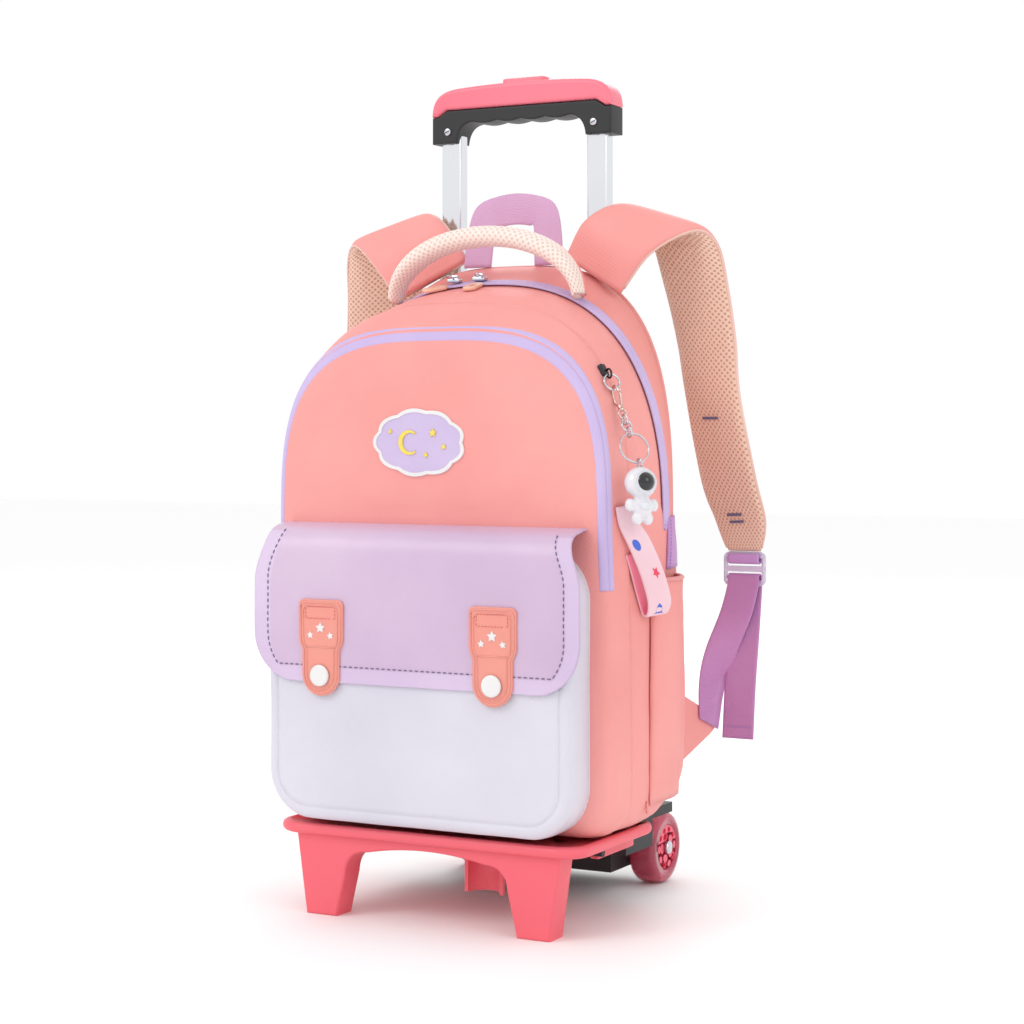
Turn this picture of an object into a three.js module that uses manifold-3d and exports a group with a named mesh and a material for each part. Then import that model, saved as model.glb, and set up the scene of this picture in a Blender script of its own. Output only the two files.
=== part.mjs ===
import * as THREE from 'three';
import { mergeVertices } from 'three/addons/utils/BufferGeometryUtils.js';
import Module from 'manifold-3d';

const wasm = await Module();
wasm.setup();

// A child's backpack strapped on a two-wheeled trolley frame.
// Millimetres: x to the right, y to the back, z up, and the floor at z = 0.

// Driving dimensions of the bag
const gap = 0.4;
const bag = {
  width: 290, height: 418, depth: 120, front: -78, floor: 68,
  spring: 217, corner: 30, wall: 3, divider: 30,
};
const door = { edge: 14, set: 1.5, bulge: 5.5, wall: 2.6, swellLow: 14, swellHigh: 14 };
const backPanel = { thick: 8, edge: 6 };
const tape = { thick: 1.5, frontWidth: 12, mainWidth: 11, mainPlace: 80, frontEnd: 177, mainEnd: 229 };
const pocket = { width: 248, bottom: 6, top: 204, depth: 28.5, corner: 34, crown: 1.6, wall: 2.2, edge: 5 };
const flap = { width: 268, topWidth: 248, top: 217, bottom: 106, corner: 36, thick: 2.4 };
const tabStrap = {
  spread: 0.53, middle: -4, width: 38, neck: 32, length: 70, shoulder: 33, top: 166, thick: 3,
};
const snap = { radius: 6.4, thick: 2, up: 15 };
const sidePocket = { front: 56, back: 116, bottom: 20, top: 182, bulge: 9, mouth: 8.5, wall: 2.2, off: 0.9 };
const sideTab = { front: 82, length: 38, bottom: 188, height: 38, thick: 1.8, off: 0.9 };
const grab = { span: 158, rise: 51, wide: 26, thick: 17, place: 74, endThick: 8 };
const hangLoop = { web: 24, thick: 1.8, span: 62, rise: 54, place: 118 };
const strap = { width: 64, thick: 13, reach: 194, back: 60, foot: 198, tall: 250, rootSink: 3.2 };
const webbing = { width: 25, thick: 1.5, tail: 56 };
const adjuster = { wide: 33, tall: 26, thick: 4, bar: 4.6, slot: 6.2, slotWide: 28 };
const cornerTab = { height: 56, length: 48, thick: 2.5, turn: 14.5, place: 133, low: 38 };
const sleeve = { width: 206, height: 92, low: 232, thick: 2 };
const badge = { wide: 78, tall: 50, thick: 2.6, x: -9, z: 280, lift: 1.1 };
const puller = { slider: [8, 11, 4], wide: 11, long: 20, thick: 3, spread: 22, middle: -19 };
const charm = {
  y: -53, z: 330, lean: 0.44, sway: -0.14, lift: 0.8, facing: [0.83, -0.56], figureLean: 0.1,
  wire: 0.8, eye: 3.2, pull: 6, hook: 5, swivel: 4, link: 3.6, links: 3, ring: 11, head: 11.5,
  band: 17, bandThick: 2.2, drop: 78, slider: [4, 7, 9],
};

// Driving dimensions of the trolley
const wheel = { radius: 28, width: 22, track: 158, place: 130, bore: 4.3, hub: 17.5, shoulder: 3, sides: 24 };
const axle = { radius: 3.9, cap: 5.2, capThick: 2, z: wheel.radius };
const plate = { width: 254, front: -101, back: 35, thick: 8.6, corner: 20 };
const legs = { spread: 176, foot: 26, head: 43, front: -95, depth: 22, archTop: 49, archCorner: 18, crown: 5 };
const rail = { place: 103, width: 8, drop: 12, front: -28 };
const clip = { radius: 16, thick: 3, drop: 38, x: 30, y: -62, arc: 170 };
const housing = { wing: 121, wingFront: 14, wingTop: 75.4, deep: 21, stay: 3, stayHook: 17 };
const tube = {
  spacing: 128, place: 62, wide: 17.6, deep: 13.4, corner: 3, wall: 1.6, top: 478, seat: 44, innerFoot: 100,
};
const handle = {
  width: 157, deep: 22, top: 628, tall: 45, underBar: 29, overBar: 19, socket: 22, waveDeep: 1.6,
  coverDeep: 24, crown: 24, tubeIn: 14,
};
const button = { wide: 37, deep: 11, proud: 3.6, sunk: 11, travel: 3 };
const screw = { radius: 2.8, thick: 1.2, up: 9 };

const rad = Math.PI / 180;
const springZ = bag.floor + bag.spring;
const v3 = (x, y, z) => new THREE.Vector3(x, y, z);

// Geometry from points and triangles, with its faces turned outwards
function solidOf(points, faces) {
  let volume = 0;
  for (const [a, b, c] of faces) {
    volume += points[a].dot(points[b].clone().cross(points[c]));
  }
  const geometry = new THREE.BufferGeometry();
  geometry.setAttribute('position', new THREE.Float32BufferAttribute(points.flatMap((p) => p.toArray()), 3));
  geometry.setIndex(faces.flatMap(([a, b, c]) => (volume > 0 ? [a, b, c] : [a, c, b])));
  return geometry;
}

// Cloth wall between two grids of points; round rows close on themselves
function wallBetween(outer, inner, round = false) {
  const rows = outer.length;
  const columns = outer[0].length;
  const points = [...outer.flat(), ...inner.flat()];
  const at = (side, i, j) => side * rows * columns + i * columns + (j % columns);
  const faces = [];
  const last = round ? columns : columns - 1;
  const quad = (a, b, c, d) => faces.push([a, b, c], [a, c, d]);
  for (let i = 0; i < rows - 1; i++) {
    for (let j = 0; j < last; j++) {
      quad(at(0, i, j), at(0, i, j + 1), at(0, i + 1, j + 1), at(0, i + 1, j));
      quad(at(1, i, j), at(1, i + 1, j), at(1, i + 1, j + 1), at(1, i, j + 1));
    }
  }
  for (let j = 0; j < last; j++) {
    quad(at(0, 0, j), at(1, 0, j), at(1, 0, j + 1), at(0, 0, j + 1));
    quad(at(0, rows - 1, j), at(0, rows - 1, j + 1), at(1, rows - 1, j + 1), at(1, rows - 1, j));
  }
  for (let i = 0; i < rows - 1 && !round; i++) {
    quad(at(0, i, 0), at(0, i + 1, 0), at(1, i + 1, 0), at(1, i, 0));
    quad(at(0, i, last), at(1, i, last), at(1, i + 1, last), at(0, i + 1, last));
  }
  return solidOf(points, faces);
}

// Tub of cloth: rings of points from its open rim to its closed end, outside and inside
function tubOf(outer, inner) {
  const size = outer[0].length;
  const points = [];
  const faces = [];
  const stack = (rings, flip) => {
    const first = points.length;
    points.push(...rings.flat());
    const middle = rings.at(-1).reduce((sum, p) => sum.add(p), v3(0, 0, 0)).divideScalar(size);
    points.push(middle);
    for (let i = 0; i < rings.length; i++) {
      for (let j = 0; j < size; j++) {
        const a = first + i * size + j;
        const b = first + i * size + (j + 1) % size;
        const between = [[a, b, b + size], [a, b + size, a + size]];
        const fan = [[a, b, points.length - 1]];
        const drawn = i < rings.length - 1 ? between : fan;
        faces.push(...drawn.map(([p, q, r]) => (flip ? [p, r, q] : [p, q, r])));
      }
    }
    return first;
  };
  const out = stack(outer, false);
  const into = stack(inner, true);
  for (let j = 0; j < size; j++) {
    const k = (j + 1) % size;
    faces.push([out + j, into + j, into + k], [out + j, into + k, out + k]);
  }
  return solidOf(points, faces);
}

// Closed solid through rings of points, each end closed round its middle
function loftOf(rings) {
  const size = rings[0].length;
  const points = rings.flat();
  const faces = [];
  for (let i = 0; i < rings.length - 1; i++) {
    for (let j = 0; j < size; j++) {
      const a = i * size + j;
      const b = i * size + (j + 1) % size;
      faces.push([a, b, b + size], [a, b + size, a + size]);
    }
  }
  for (const [start, flip] of [[0, true], [(rings.length - 1) * size, false]]) {
    const middle = v3(0, 0, 0);
    for (let j = 0; j < size; j++) {
      middle.addScaledVector(points[start + j], 1 / size);
    }
    points.push(middle);
    for (let j = 0; j < size; j++) {
      const pair = [start + j, start + (j + 1) % size];
      faces.push([points.length - 1, ...(flip ? pair.reverse() : pair)]);
    }
  }
  return solidOf(points, faces);
}

// Rounded rectangle about the origin as a list of [x, y], with `steps` points to each corner
function roundedBox(wide, tall, corner, steps = 3) {
  const points = [];
  const centres = [[1, -1, -90], [1, 1, 0], [-1, 1, 90], [-1, -1, 180]];
  for (const [sx, sy, start] of centres) {
    for (let i = 0; i < steps; i++) {
      const a = (start + 90 * i / (steps - 1)) * rad;
      points.push([
        sx * (wide / 2 - corner) + corner * Math.cos(a),
        sy * (tall / 2 - corner) + corner * Math.sin(a),
      ]);
    }
  }
  return points;
}

// Smooth run through the rows of a table, column by column
function smoothRows(rows, steps) {
  const names = Object.keys(rows[0]);
  const track = (name) => new THREE.SplineCurve(rows.map((row, i) => new THREE.Vector2(i, row[name])));
  const tracks = names.map(track);
  return Array.from({ length: steps + 1 }, (_, i) => {
    const row = {};
    names.forEach((name, k) => { row[name] = tracks[k].getPoint(i / steps).y; });
    return row;
  });
}

// Strip or pad along rows of { x, y, z, turn, rise, wide, thick }: turn and rise aim its width
function stripOf(rows, section) {
  const centres = rows.map((row) => v3(row.x, row.y, row.z));
  const rings = rows.map((row, i) => {
    const ahead = centres[Math.min(i + 1, rows.length - 1)];
    const behind = centres[Math.max(i - 1, 0)];
    const along = ahead.clone().sub(behind).normalize();
    const turn = row.turn * rad;
    const rise = row.rise * rad;
    const across = v3(Math.cos(turn) * Math.cos(rise), Math.sin(turn) * Math.cos(rise), Math.sin(rise));
    const out = along.clone().cross(across).normalize();
    return section.map(([a, b]) => centres[i].clone()
      .addScaledVector(across, a * row.wide / 2)
      .addScaledVector(out, b * row.thick / 2));
  });
  return loftOf(rings);
}
const flatSection = [[-1, -1], [1, -1], [1, 1], [-1, 1]];
const padSection = [[-0.86, -0.9], [0, -1], [0.86, -0.9], [1, 0], [0.86, 0.9], [0, 1], [-0.86, 0.9], [-1, 0]];

// Extruded outline in the xz plane, from y = front to y = front + deep
function slabOf(outline, front, deep, bevel = 0) {
  const drawn = outline instanceof THREE.Shape;
  const shape = drawn ? outline : new THREE.Shape(outline.map(([x, z]) => new THREE.Vector2(x, z)));
  const geometry = new THREE.ExtrudeGeometry(shape, {
    depth: deep - 2 * bevel, curveSegments: 5, bevelEnabled: bevel > 0, bevelThickness: bevel,
    bevelSize: bevel, bevelOffset: -bevel, bevelSegments: 1,
  });
  geometry.translate(0, 0, bevel);
  geometry.rotateX(Math.PI / 2);
  geometry.scale(1, -1, 1);
  geometry.translate(0, front, 0);
  const count = geometry.attributes.position.count;
  const index = geometry.index ? [...geometry.index.array] : [...Array(count).keys()];
  for (let i = 0; i < index.length; i += 3) {
    [index[i + 1], index[i + 2]] = [index[i + 2], index[i + 1]];
  }
  geometry.setIndex(index);
  return geometry;
}

// Upright prism of an outline in the xy plane
function postOf(outline, low, high) {
  const shape = new THREE.Shape(outline.map(([x, y]) => new THREE.Vector2(x, y)));
  const geometry = new THREE.ExtrudeGeometry(shape, { depth: high - low, bevelEnabled: false });
  return geometry.translate(0, 0, low);
}

// Joins and cuts
function bodyOf(geometry) {
  const bare = geometry.clone();
  bare.deleteAttribute('normal');
  bare.deleteAttribute('uv');
  const merged = mergeVertices(bare, 1e-4);
  return new wasm.Manifold(new wasm.Mesh({
    numProp: 3,
    vertProperties: new Float32Array(merged.attributes.position.array),
    triVerts: new Uint32Array(merged.index.array),
  }));
}
function geometryOf(body) {
  const mesh = body.getMesh();
  const geometry = new THREE.BufferGeometry();
  geometry.setAttribute('position', new THREE.BufferAttribute(new Float32Array(mesh.vertProperties), 3));
  geometry.setIndex([...mesh.triVerts]);
  return geometry;
}
const joined = (...list) => geometryOf(list.map(bodyOf).reduce((a, b) => a.add(b)));
const cut = (geometry, ...tools) => geometryOf(tools.reduce((a, b) => a.subtract(bodyOf(b)), bodyOf(geometry)));

const boxOf = (low, high) => new THREE.BoxGeometry(high[0] - low[0], high[1] - low[1], high[2] - low[2])
  .translate((low[0] + high[0]) / 2, (low[1] + high[1]) / 2, (low[2] + high[2]) / 2);
const rodAlongX = (radius, from, to, sides = 16) => new THREE
  .CylinderGeometry(radius, radius, to - from, sides)
  .rotateZ(Math.PI / 2)
  .translate((from + to) / 2, 0, 0);

const mirrorX = (geometry) => {
  const copy = geometry.clone().scale(-1, 1, 1);
  const order = copy.index ? [...copy.index.array] : [...Array(copy.attributes.position.count).keys()];
  for (let i = 0; i < order.length; i += 3) {
    [order[i + 1], order[i + 2]] = [order[i + 2], order[i + 1]];
  }
  return copy.setIndex(order);
};
const roundPoints = (radius, count, start = 0) => Array.from({ length: count }, (_, i) => {
  const a = start + i / count * 2 * Math.PI;
  return new THREE.Vector2(radius * Math.cos(a), radius * Math.sin(a));
});

const model = new THREE.Group();
function add(name, geometry, colour, roughness, metalness = 0) {
  const material = new THREE.MeshStandardMaterial({ color: colour, roughness, metalness });
  const piece = new THREE.Mesh(geometry, material);
  piece.name = name;
  model.add(piece);
}

function addPair(name, geometry, colour, roughness) {
  add(`${name}_right`, geometry, colour, roughness);
  add(`${name}_left`, mirrorX(geometry), colour, roughness);
}

const coral = 0xff9e97;
const lilac = 0xd9c2ee;
const lilacWeb = 0xc78fd0;
const white = 0xe8e6f0;
const mesh = 0xf6d4bc;
const peach = 0xffa48f;
const hotPink = 0xff6474;
const black = 0x141414;
const steel = 0xc9ccd2;

// The bag's cross-sections from front to back, lengths as shares of the bag's own sizes
const sections = [
  { depth: 0.00, base: 0.962, arch: 0.930, top: 0.856, square: 3.2, floor: 0.014 },
  { depth: 0.23, base: 0.972, arch: 0.958, top: 0.911, square: 2.9, floor: 0.002 },
  { depth: 0.44, base: 0.980, arch: 0.986, top: 0.936, square: 2.7, floor: 0.000 },
  { depth: 0.65, base: 0.984, arch: 1.000, top: 0.952, square: 2.5, floor: 0.001 },
  { depth: 0.80, base: 0.980, arch: 0.980, top: 0.966, square: 2.6, floor: 0.010 },
  { depth: 0.92, base: 0.974, arch: 0.945, top: 0.984, square: 2.8, floor: 0.030 },
  { depth: 1.00, base: 0.966, arch: 0.915, top: 0.994, square: 3.0, floor: 0.046 },
];
const yAt = (depth) => bag.front + depth * bag.depth;
const backRim = yAt(1);
function sectionAt(y) {
  const share = THREE.MathUtils.clamp((y - bag.front) / bag.depth, 0, 1);
  const i = Math.min(sections.findLastIndex((row) => row.depth <= share + 1e-9), sections.length - 2);
  const [a, b] = [sections[i], sections[i + 1]];
  const t = (share - a.depth) / (b.depth - a.depth);
  const mix = (name) => a[name] + (b[name] - a[name]) * t;
  return {
    base: mix('base') * bag.width / 2,
    arch: mix('arch') * bag.width / 2,
    top: bag.floor + mix('top') * bag.height,
    square: mix('square'),
    floor: bag.floor + mix('floor') * bag.height,
  };
}

// Half of the outline at one depth, from the floor's middle to the top's middle, as [x, z, part]
const archSteps = 8;
const cornerSteps = 3;
function halfOutline(y, inset) {
  const s = sectionAt(y);
  const corner = Math.max(bag.corner - inset, 4);
  const base = s.base - inset;
  const arch = s.arch - inset;
  const low = s.floor + inset;
  const points = [[0, low]];
  for (let i = 0; i <= cornerSteps; i++) {
    const a = (i / cornerSteps - 1) * Math.PI / 2;
    points.push([base - corner + corner * Math.cos(a), low + corner + corner * Math.sin(a)]);
  }
  const sideLow = low + corner;
  for (const t of [0.33, 0.67]) {
    points.push([base + (arch - base) * t * t, sideLow + (springZ - sideLow) * t]);
  }
  for (let i = 0; i <= archSteps; i++) {
    const a = i * 90 / archSteps * rad;
    const power = 2 / s.square;
    points.push([
      i === archSteps ? 0 : arch * Math.cos(a) ** power,
      springZ + (s.top - inset - springZ) * Math.sin(a) ** power,
    ]);
  }
  return points;
}
const springIndex = halfOutline(bag.front, 0).length - 1 - archSteps;

// The whole ring, clockwise from the floor's middle up the right side
function ringAt(y, inset, shift = () => 0) {
  const right = halfOutline(y, inset);
  const left = right.slice(1, -1).reverse().map(([x, z]) => [-x, z]);
  return [...right, ...left].map(([x, z]) => v3(x, y + shift(x, z), z));
}
const sideX = (y, z) => {
  const half = halfOutline(y, 0).slice(cornerSteps + 1);
  for (let i = 0; i < half.length - 1; i++) {
    const [[x0, z0], [x1, z1]] = [half[i], half[i + 1]];
    if (z <= z1) return x0 + (x1 - x0) * Math.max(z - z0, 0) / (z1 - z0);
  }
  return 0;
};
const topZ = (x, y) => {
  const half = halfOutline(y, 0).slice(springIndex);
  for (let i = 0; i < half.length - 1; i++) {
    const [[x0, z0], [x1, z1]] = [half[i], half[i + 1]];
    if (Math.abs(x) >= x1) return z0 + (z1 - z0) * (x0 - Math.abs(x)) / (x0 - x1);
  }
  return half.at(-1)[1];
};
const stationsBetween = (from, to) => [
  from, ...sections.map((row) => yAt(row.depth)).filter((y) => y > from + 1 && y < to - 1), to,
];

// Main shell: a tub with its floor, sides and top in one wall, its divider to the front, open at the back
const dividerY = bag.front + bag.divider;
const shellDepths = sections.map((row) => yAt(row.depth)).filter((y) => y > dividerY + 1);
const shellRows = [backRim, ...shellDepths.reverse().slice(1)];
const dividerRings = (wall) => [wall, wall + 40].map((inset) => ringAt(dividerY + wall, inset));
const mainShell = tubOf(
  [...shellRows.map((y) => ringAt(y, 0)), ...dividerRings(0)],
  [...shellRows.map((y) => ringAt(y, bag.wall)), ...dividerRings(bag.wall)],
);
add('main_shell', mainShell, coral, 0.62);

// Back panel: a padded board over the open back
const panelRings = [
  [backRim + gap, 0], [backRim + backPanel.thick * 0.5, 0],
  [backRim + backPanel.thick * 0.85, backPanel.edge * 0.4], [backRim + backPanel.thick, backPanel.edge],
];
const backFace = backRim + backPanel.thick;
const panelLoft = loftOf(panelRings.map(([y, inset]) => ringAt(backRim, inset).map((p) => p.setY(y))));
add('back_panel', panelLoft, coral, 0.7);

// Front compartment: its door is nearly flat below and swells above the flap
const doorFace = bag.front - door.set;
const doorSwell = (x, z) => {
  const high = sectionAt(bag.front).top - door.swellHigh;
  const low = springZ + door.swellLow;
  const rise = THREE.MathUtils.clamp((z - low) / (high - low), 0, 1);
  return -door.bulge * Math.sin(Math.PI * rise) * Math.max(1 - (x / (bag.width * 0.43)) ** 2, 0);
};
const doorY = (x, z) => doorFace + doorSwell(x, z);
const frontEdge = [
  { y: dividerY - gap, inset: 0 },
  { y: yAt(0.09), inset: 0 },
  { y: yAt(0.04), inset: 0.8 },
  { y: yAt(0.012), inset: 3 },
  { y: yAt(0.0) - 0.6, inset: 8 },
];
const frontRings = (wall, insets) => [
  ...frontEdge.map(({ y, inset }, i) => ringAt(i ? y + wall * Math.min(i / 3, 1) : y, inset + wall)),
  ...insets.map((inset) => ringAt(bag.front, inset + Math.min(wall, 2), doorSwell)
    .map((p) => p.setY(p.y - door.set + wall))),
];
const frontCompartment = tubOf(
  frontRings(0, [door.edge, 34, 62, 94, 126]),
  frontRings(door.wall, [door.edge, 62, 126]),
);
add('front_compartment', frontCompartment, coral, 0.62);

// Zip tapes: arches of tape along the front edge and round the middle of the bag; lean aims each edge
function archTape(profile, endZ) {
  const rowOf = ({ y, inset, lean }, off) => {
    const ring = halfOutline(y, inset - off * Math.cos(lean * rad));
    const [below, above] = [ring[springIndex - 1], ring[springIndex]];
    const share = (endZ - below[1]) / (above[1] - below[1]);
    const footX = below[0] + (above[0] - below[0]) * share;
    const side = ring.slice(springIndex);
    const right = share < 1 ? [[footX, endZ], ...side] : side.filter(([, z]) => z > endZ);
    const left = right.slice(0, -1).reverse().map(([x, z]) => [-x, z]);
    return [...right, ...left].map(([x, z]) => v3(x, y - off * Math.sin(lean * rad), z));
  };
  return wallBetween(profile.map((p) => rowOf(p, gap + tape.thick)), profile.map((p) => rowOf(p, gap)));
}
const frontTape = [
  { y: yAt(0.0) - 0.5, inset: 7.2, lean: 62 },
  { y: yAt(0.012), inset: 3, lean: 42 },
  { y: yAt(0.04), inset: 0.8, lean: 20 },
  { y: yAt(0.04) + tape.frontWidth * 0.5, inset: 0.2, lean: 4 },
];
add('zip_front', archTape(frontTape, bag.floor + tape.frontEnd), lilac, 0.55);
const mainTapeY = bag.front + tape.mainPlace;
const mainTape = [-0.5, 0.5].map((side) => ({ y: mainTapeY + side * tape.mainWidth, inset: 0, lean: 0 }));
add('zip_main', archTape(mainTape, bag.floor + tape.mainEnd), lilac, 0.55);

// Box pocket on the door, open to the door at its back
const pocketRing = (y, inset, crown = 0) => {
  const tall = pocket.top - pocket.bottom - 2 * inset;
  const wide = pocket.width - 2 * inset;
  const middle = bag.floor + (pocket.top + pocket.bottom) / 2;
  return roundedBox(wide, tall, Math.max(pocket.corner - inset, 5), 5)
    .map(([x, z]) => v3(x, y - crown, z + middle));
};
const pocketRim = doorFace - gap;
const pocketFace = pocketRim - pocket.depth;
const pocketRings = (wall) => [
  pocketRing(pocketRim, wall),
  pocketRing(pocketRim - pocket.depth * 0.6, wall - 0.8),
  pocketRing(pocketFace + pocket.edge, wall),
  pocketRing(pocketFace + pocket.edge * 0.3 + wall * 0.6, wall + pocket.edge * 0.35),
  pocketRing(pocketFace + wall, wall + pocket.edge),
  pocketRing(pocketFace + wall, wall + 45, pocket.crown),
];
add('front_pocket', tubOf(pocketRings(0), pocketRings(pocket.wall)), white, 0.5);

// Flap: from the door over the pocket's top and down its face, lower corners rounded
const flapFace = pocketFace - pocket.crown - gap;
const flapTop = bag.floor + flap.top;
const flapRows = [
  { out: 0.00, down: 0.000 },
  { out: 0.34, down: 0.004 },
  { out: 0.72, down: 0.035 },
  { out: 0.93, down: 0.110 },
  { out: 1.00, down: 0.230 },
  { out: 1.00, down: 0.460 },
  { out: 1.00, down: 0.680 },
  { out: 1.00, down: 0.800 },
  { out: 1.00, down: 0.900 },
  { out: 1.00, down: 0.965 },
  { out: 1.00, down: 1.000 },
];
const flapDrop = flap.top - flap.bottom;
const flapRun = pocketRim - flapFace;
const flapGrid = (off) => flapRows.map(({ out, down }, i) => {
  const next = flapRows[Math.min(i + 1, flapRows.length - 1)];
  const last = flapRows[Math.max(i - 1, 0)];
  const lean = Math.atan2((next.down - last.down) * flapDrop, (next.out - last.out) * flapRun);
  const z = flapTop - down * flapDrop;
  const y = pocketRim - out * flapRun;
  const up = Math.max(flap.corner - (z - bag.floor - flap.bottom), 0);
  const round = flap.corner - Math.sqrt(Math.max(flap.corner ** 2 - up ** 2, 0));
  const spread = THREE.MathUtils.smoothstep(down, 0, 0.35);
  const half = (flap.topWidth + (flap.width - flap.topWidth) * spread) / 2 - round;
  return Array.from({ length: 8 }, (_, k) => {
    const x = half * Math.sin((k / 7 - 0.5) * Math.PI * 0.9) / Math.sin(Math.PI * 0.45);
    return v3(x, y - off * Math.sin(lean), z + off * Math.cos(lean));
  });
});
add('flap', wallBetween(flapGrid(flap.thick), flapGrid(0)), lilac, 0.5);

// Two closing tabs with their snaps
const tabFace = flapFace - flap.thick - gap;
for (const [name, side] of [['left', -1], ['right', 1]]) {
  const x = tabStrap.middle + side * tabStrap.spread * flap.width / 2;
  const top = bag.floor + tabStrap.top;
  const half = tabStrap.width / 2;
  const neck = tabStrap.neck / 2;
  const shape = new THREE.Shape();
  shape.moveTo(-half + 4, top);
  shape.lineTo(half - 4, top);
  shape.quadraticCurveTo(half, top, half, top - 4);
  shape.lineTo(half, top - tabStrap.shoulder);
  shape.lineTo(neck, top - tabStrap.shoulder - 4);
  shape.lineTo(neck, top - tabStrap.length + neck);
  shape.absarc(0, top - tabStrap.length + neck, neck, 0, -Math.PI, true);
  shape.lineTo(-neck, top - tabStrap.shoulder - 4);
  shape.lineTo(-half, top - tabStrap.shoulder);
  shape.lineTo(-half, top - 4);
  shape.quadraticCurveTo(-half, top, -half + 4, top);
  add(`tab_${name}`, slabOf(shape, tabFace - tabStrap.thick, tabStrap.thick).translate(x, 0, 0), peach, 0.45);
  const disc = new THREE.CylinderGeometry(snap.radius, snap.radius * 0.8, snap.thick, 14);
  disc.translate(x, tabFace - tabStrap.thick - gap - snap.thick / 2, top - tabStrap.length + snap.up);
  add(`snap_${name}`, disc, 0xf6f4f4, 0.3);
}

// Cloud badge on the upper door, following its swell
const badgeShape = new THREE.Shape();
const puffs = 9;
for (let i = 0; i <= puffs * 4; i++) {
  const a = i / (puffs * 4) * 2 * Math.PI;
  const puff = 0.93 + 0.07 * Math.abs(Math.sin(a * puffs / 2));
  const at = [badge.wide / 2 * puff * Math.cos(a), badge.tall / 2 * puff * Math.sin(a)];
  if (i === 0) badgeShape.moveTo(...at);
  else if (i < puffs * 4) badgeShape.lineTo(...at);
}
const badgePlate = slabOf(badgeShape, -badge.thick, badge.thick).translate(badge.x, 0, bag.floor + badge.z);
const badgeAt = badgePlate.attributes.position;
for (let i = 0; i < badgeAt.count; i++) {
  badgeAt.setY(i, badgeAt.getY(i) + doorY(badgeAt.getX(i), badgeAt.getZ(i)) - badge.lift);
}
add('badge', badgePlate, 0xe8cdf2, 0.45);

// Side pockets and the webbing tabs above them
const sides = [['left', -1], ['right', 1]];
const sidePoint = (y, z, off, side) => v3(side * (sideX(y, z) + off), y, z);
for (const [name, side] of sides) {
  const pocketGrid = (wall) => Array.from({ length: 8 }, (_, i) => {
    const t = i / 7;
    const z = bag.floor + sidePocket.bottom + (sidePocket.top - sidePocket.bottom) * t;
    return Array.from({ length: 8 }, (_cell, j) => {
      const u = j / 7;
      const y = bag.front + sidePocket.front + (sidePocket.back - sidePocket.front) * u;
      const round = Math.sin(Math.PI * u) ** 0.6;
      const slack = (1 - sidePocket.mouth / sidePocket.bulge) * (2 * t - 1);
      const up = t < 0.5 ? Math.sin(Math.PI * t) ** 0.6 : 1 - slack;
      return sidePoint(y, z, sidePocket.off + sidePocket.bulge * round * up + wall, side);
    });
  });
  add(`side_pocket_${name}`, wallBetween(pocketGrid(sidePocket.wall), pocketGrid(0)), coral, 0.62);

  const webFront = bag.front + sideTab.front;
  const webLow = bag.floor + sideTab.bottom;
  const webGrid = (off) => [webLow, springZ, webLow + sideTab.height].map(
    (z) => stationsBetween(webFront, webFront + sideTab.length).map(
      (y) => sidePoint(y, z, off + sideTab.off, side),
    ),
  );
  add(`side_tab_${name}`, wallBetween(webGrid(sideTab.thick), webGrid(0)), lilacWeb, 0.7);
}

// Padded grab handle over the top, its ends flattened onto the bag
const grabY = bag.front + grab.place;
const grabRows = [];
for (let i = 0; i <= 14; i++) {
  const a = Math.PI * (1 - i / 14);
  const end = Math.abs(Math.cos(a)) ** 6;
  const x = grab.span / 2 * Math.cos(a);
  const thick = grab.thick + (grab.endThick - grab.thick) * end;
  const seat = topZ(x, grabY) + gap + thick / 2 + 4 * end;
  const lift = topZ(grab.span / 2, grabY) + grab.endThick / 2 + grab.rise * Math.sin(a) ** 0.9;
  grabRows.push({ x, y: grabY, z: Math.max(seat, lift), turn: 90, rise: 0, wide: grab.wide, thick });
}
add('grab_handle', stripOf(grabRows, padSection), mesh, 0.8);

// Hanging loop of flat webbing between the strap roots
const loopY = bag.front + hangLoop.place;
const loopTable = [
  { along: -1.00, up: 0.00, back: 0, rise: 0 },
  { along: -0.95, up: 0.40, back: 2, rise: 12 },
  { along: -0.82, up: 0.72, back: 4, rise: 38 },
  { along: -0.46, up: 0.80, back: 5, rise: 76 },
  { along: 0.00, up: 0.83, back: 5, rise: 90 },
  { along: 0.46, up: 0.80, back: 5, rise: 104 },
  { along: 0.82, up: 0.72, back: 4, rise: 142 },
  { along: 0.95, up: 0.40, back: 2, rise: 168 },
  { along: 1.00, up: 0.00, back: 0, rise: 180 },
];
const loopSeat = topZ(0, loopY) + gap;
const loopRows = smoothRows(loopTable.map(({ along, up, back, rise }) => ({
  x: along * hangLoop.span / 2, y: loopY + back, z: loopSeat + up * hangLoop.rise,
  turn: 180, rise, wide: hangLoop.web, thick: hangLoop.thick,
})), 18);
add('hang_loop', stripOf(loopRows, flatSection), lilacWeb, 0.7);

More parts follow.
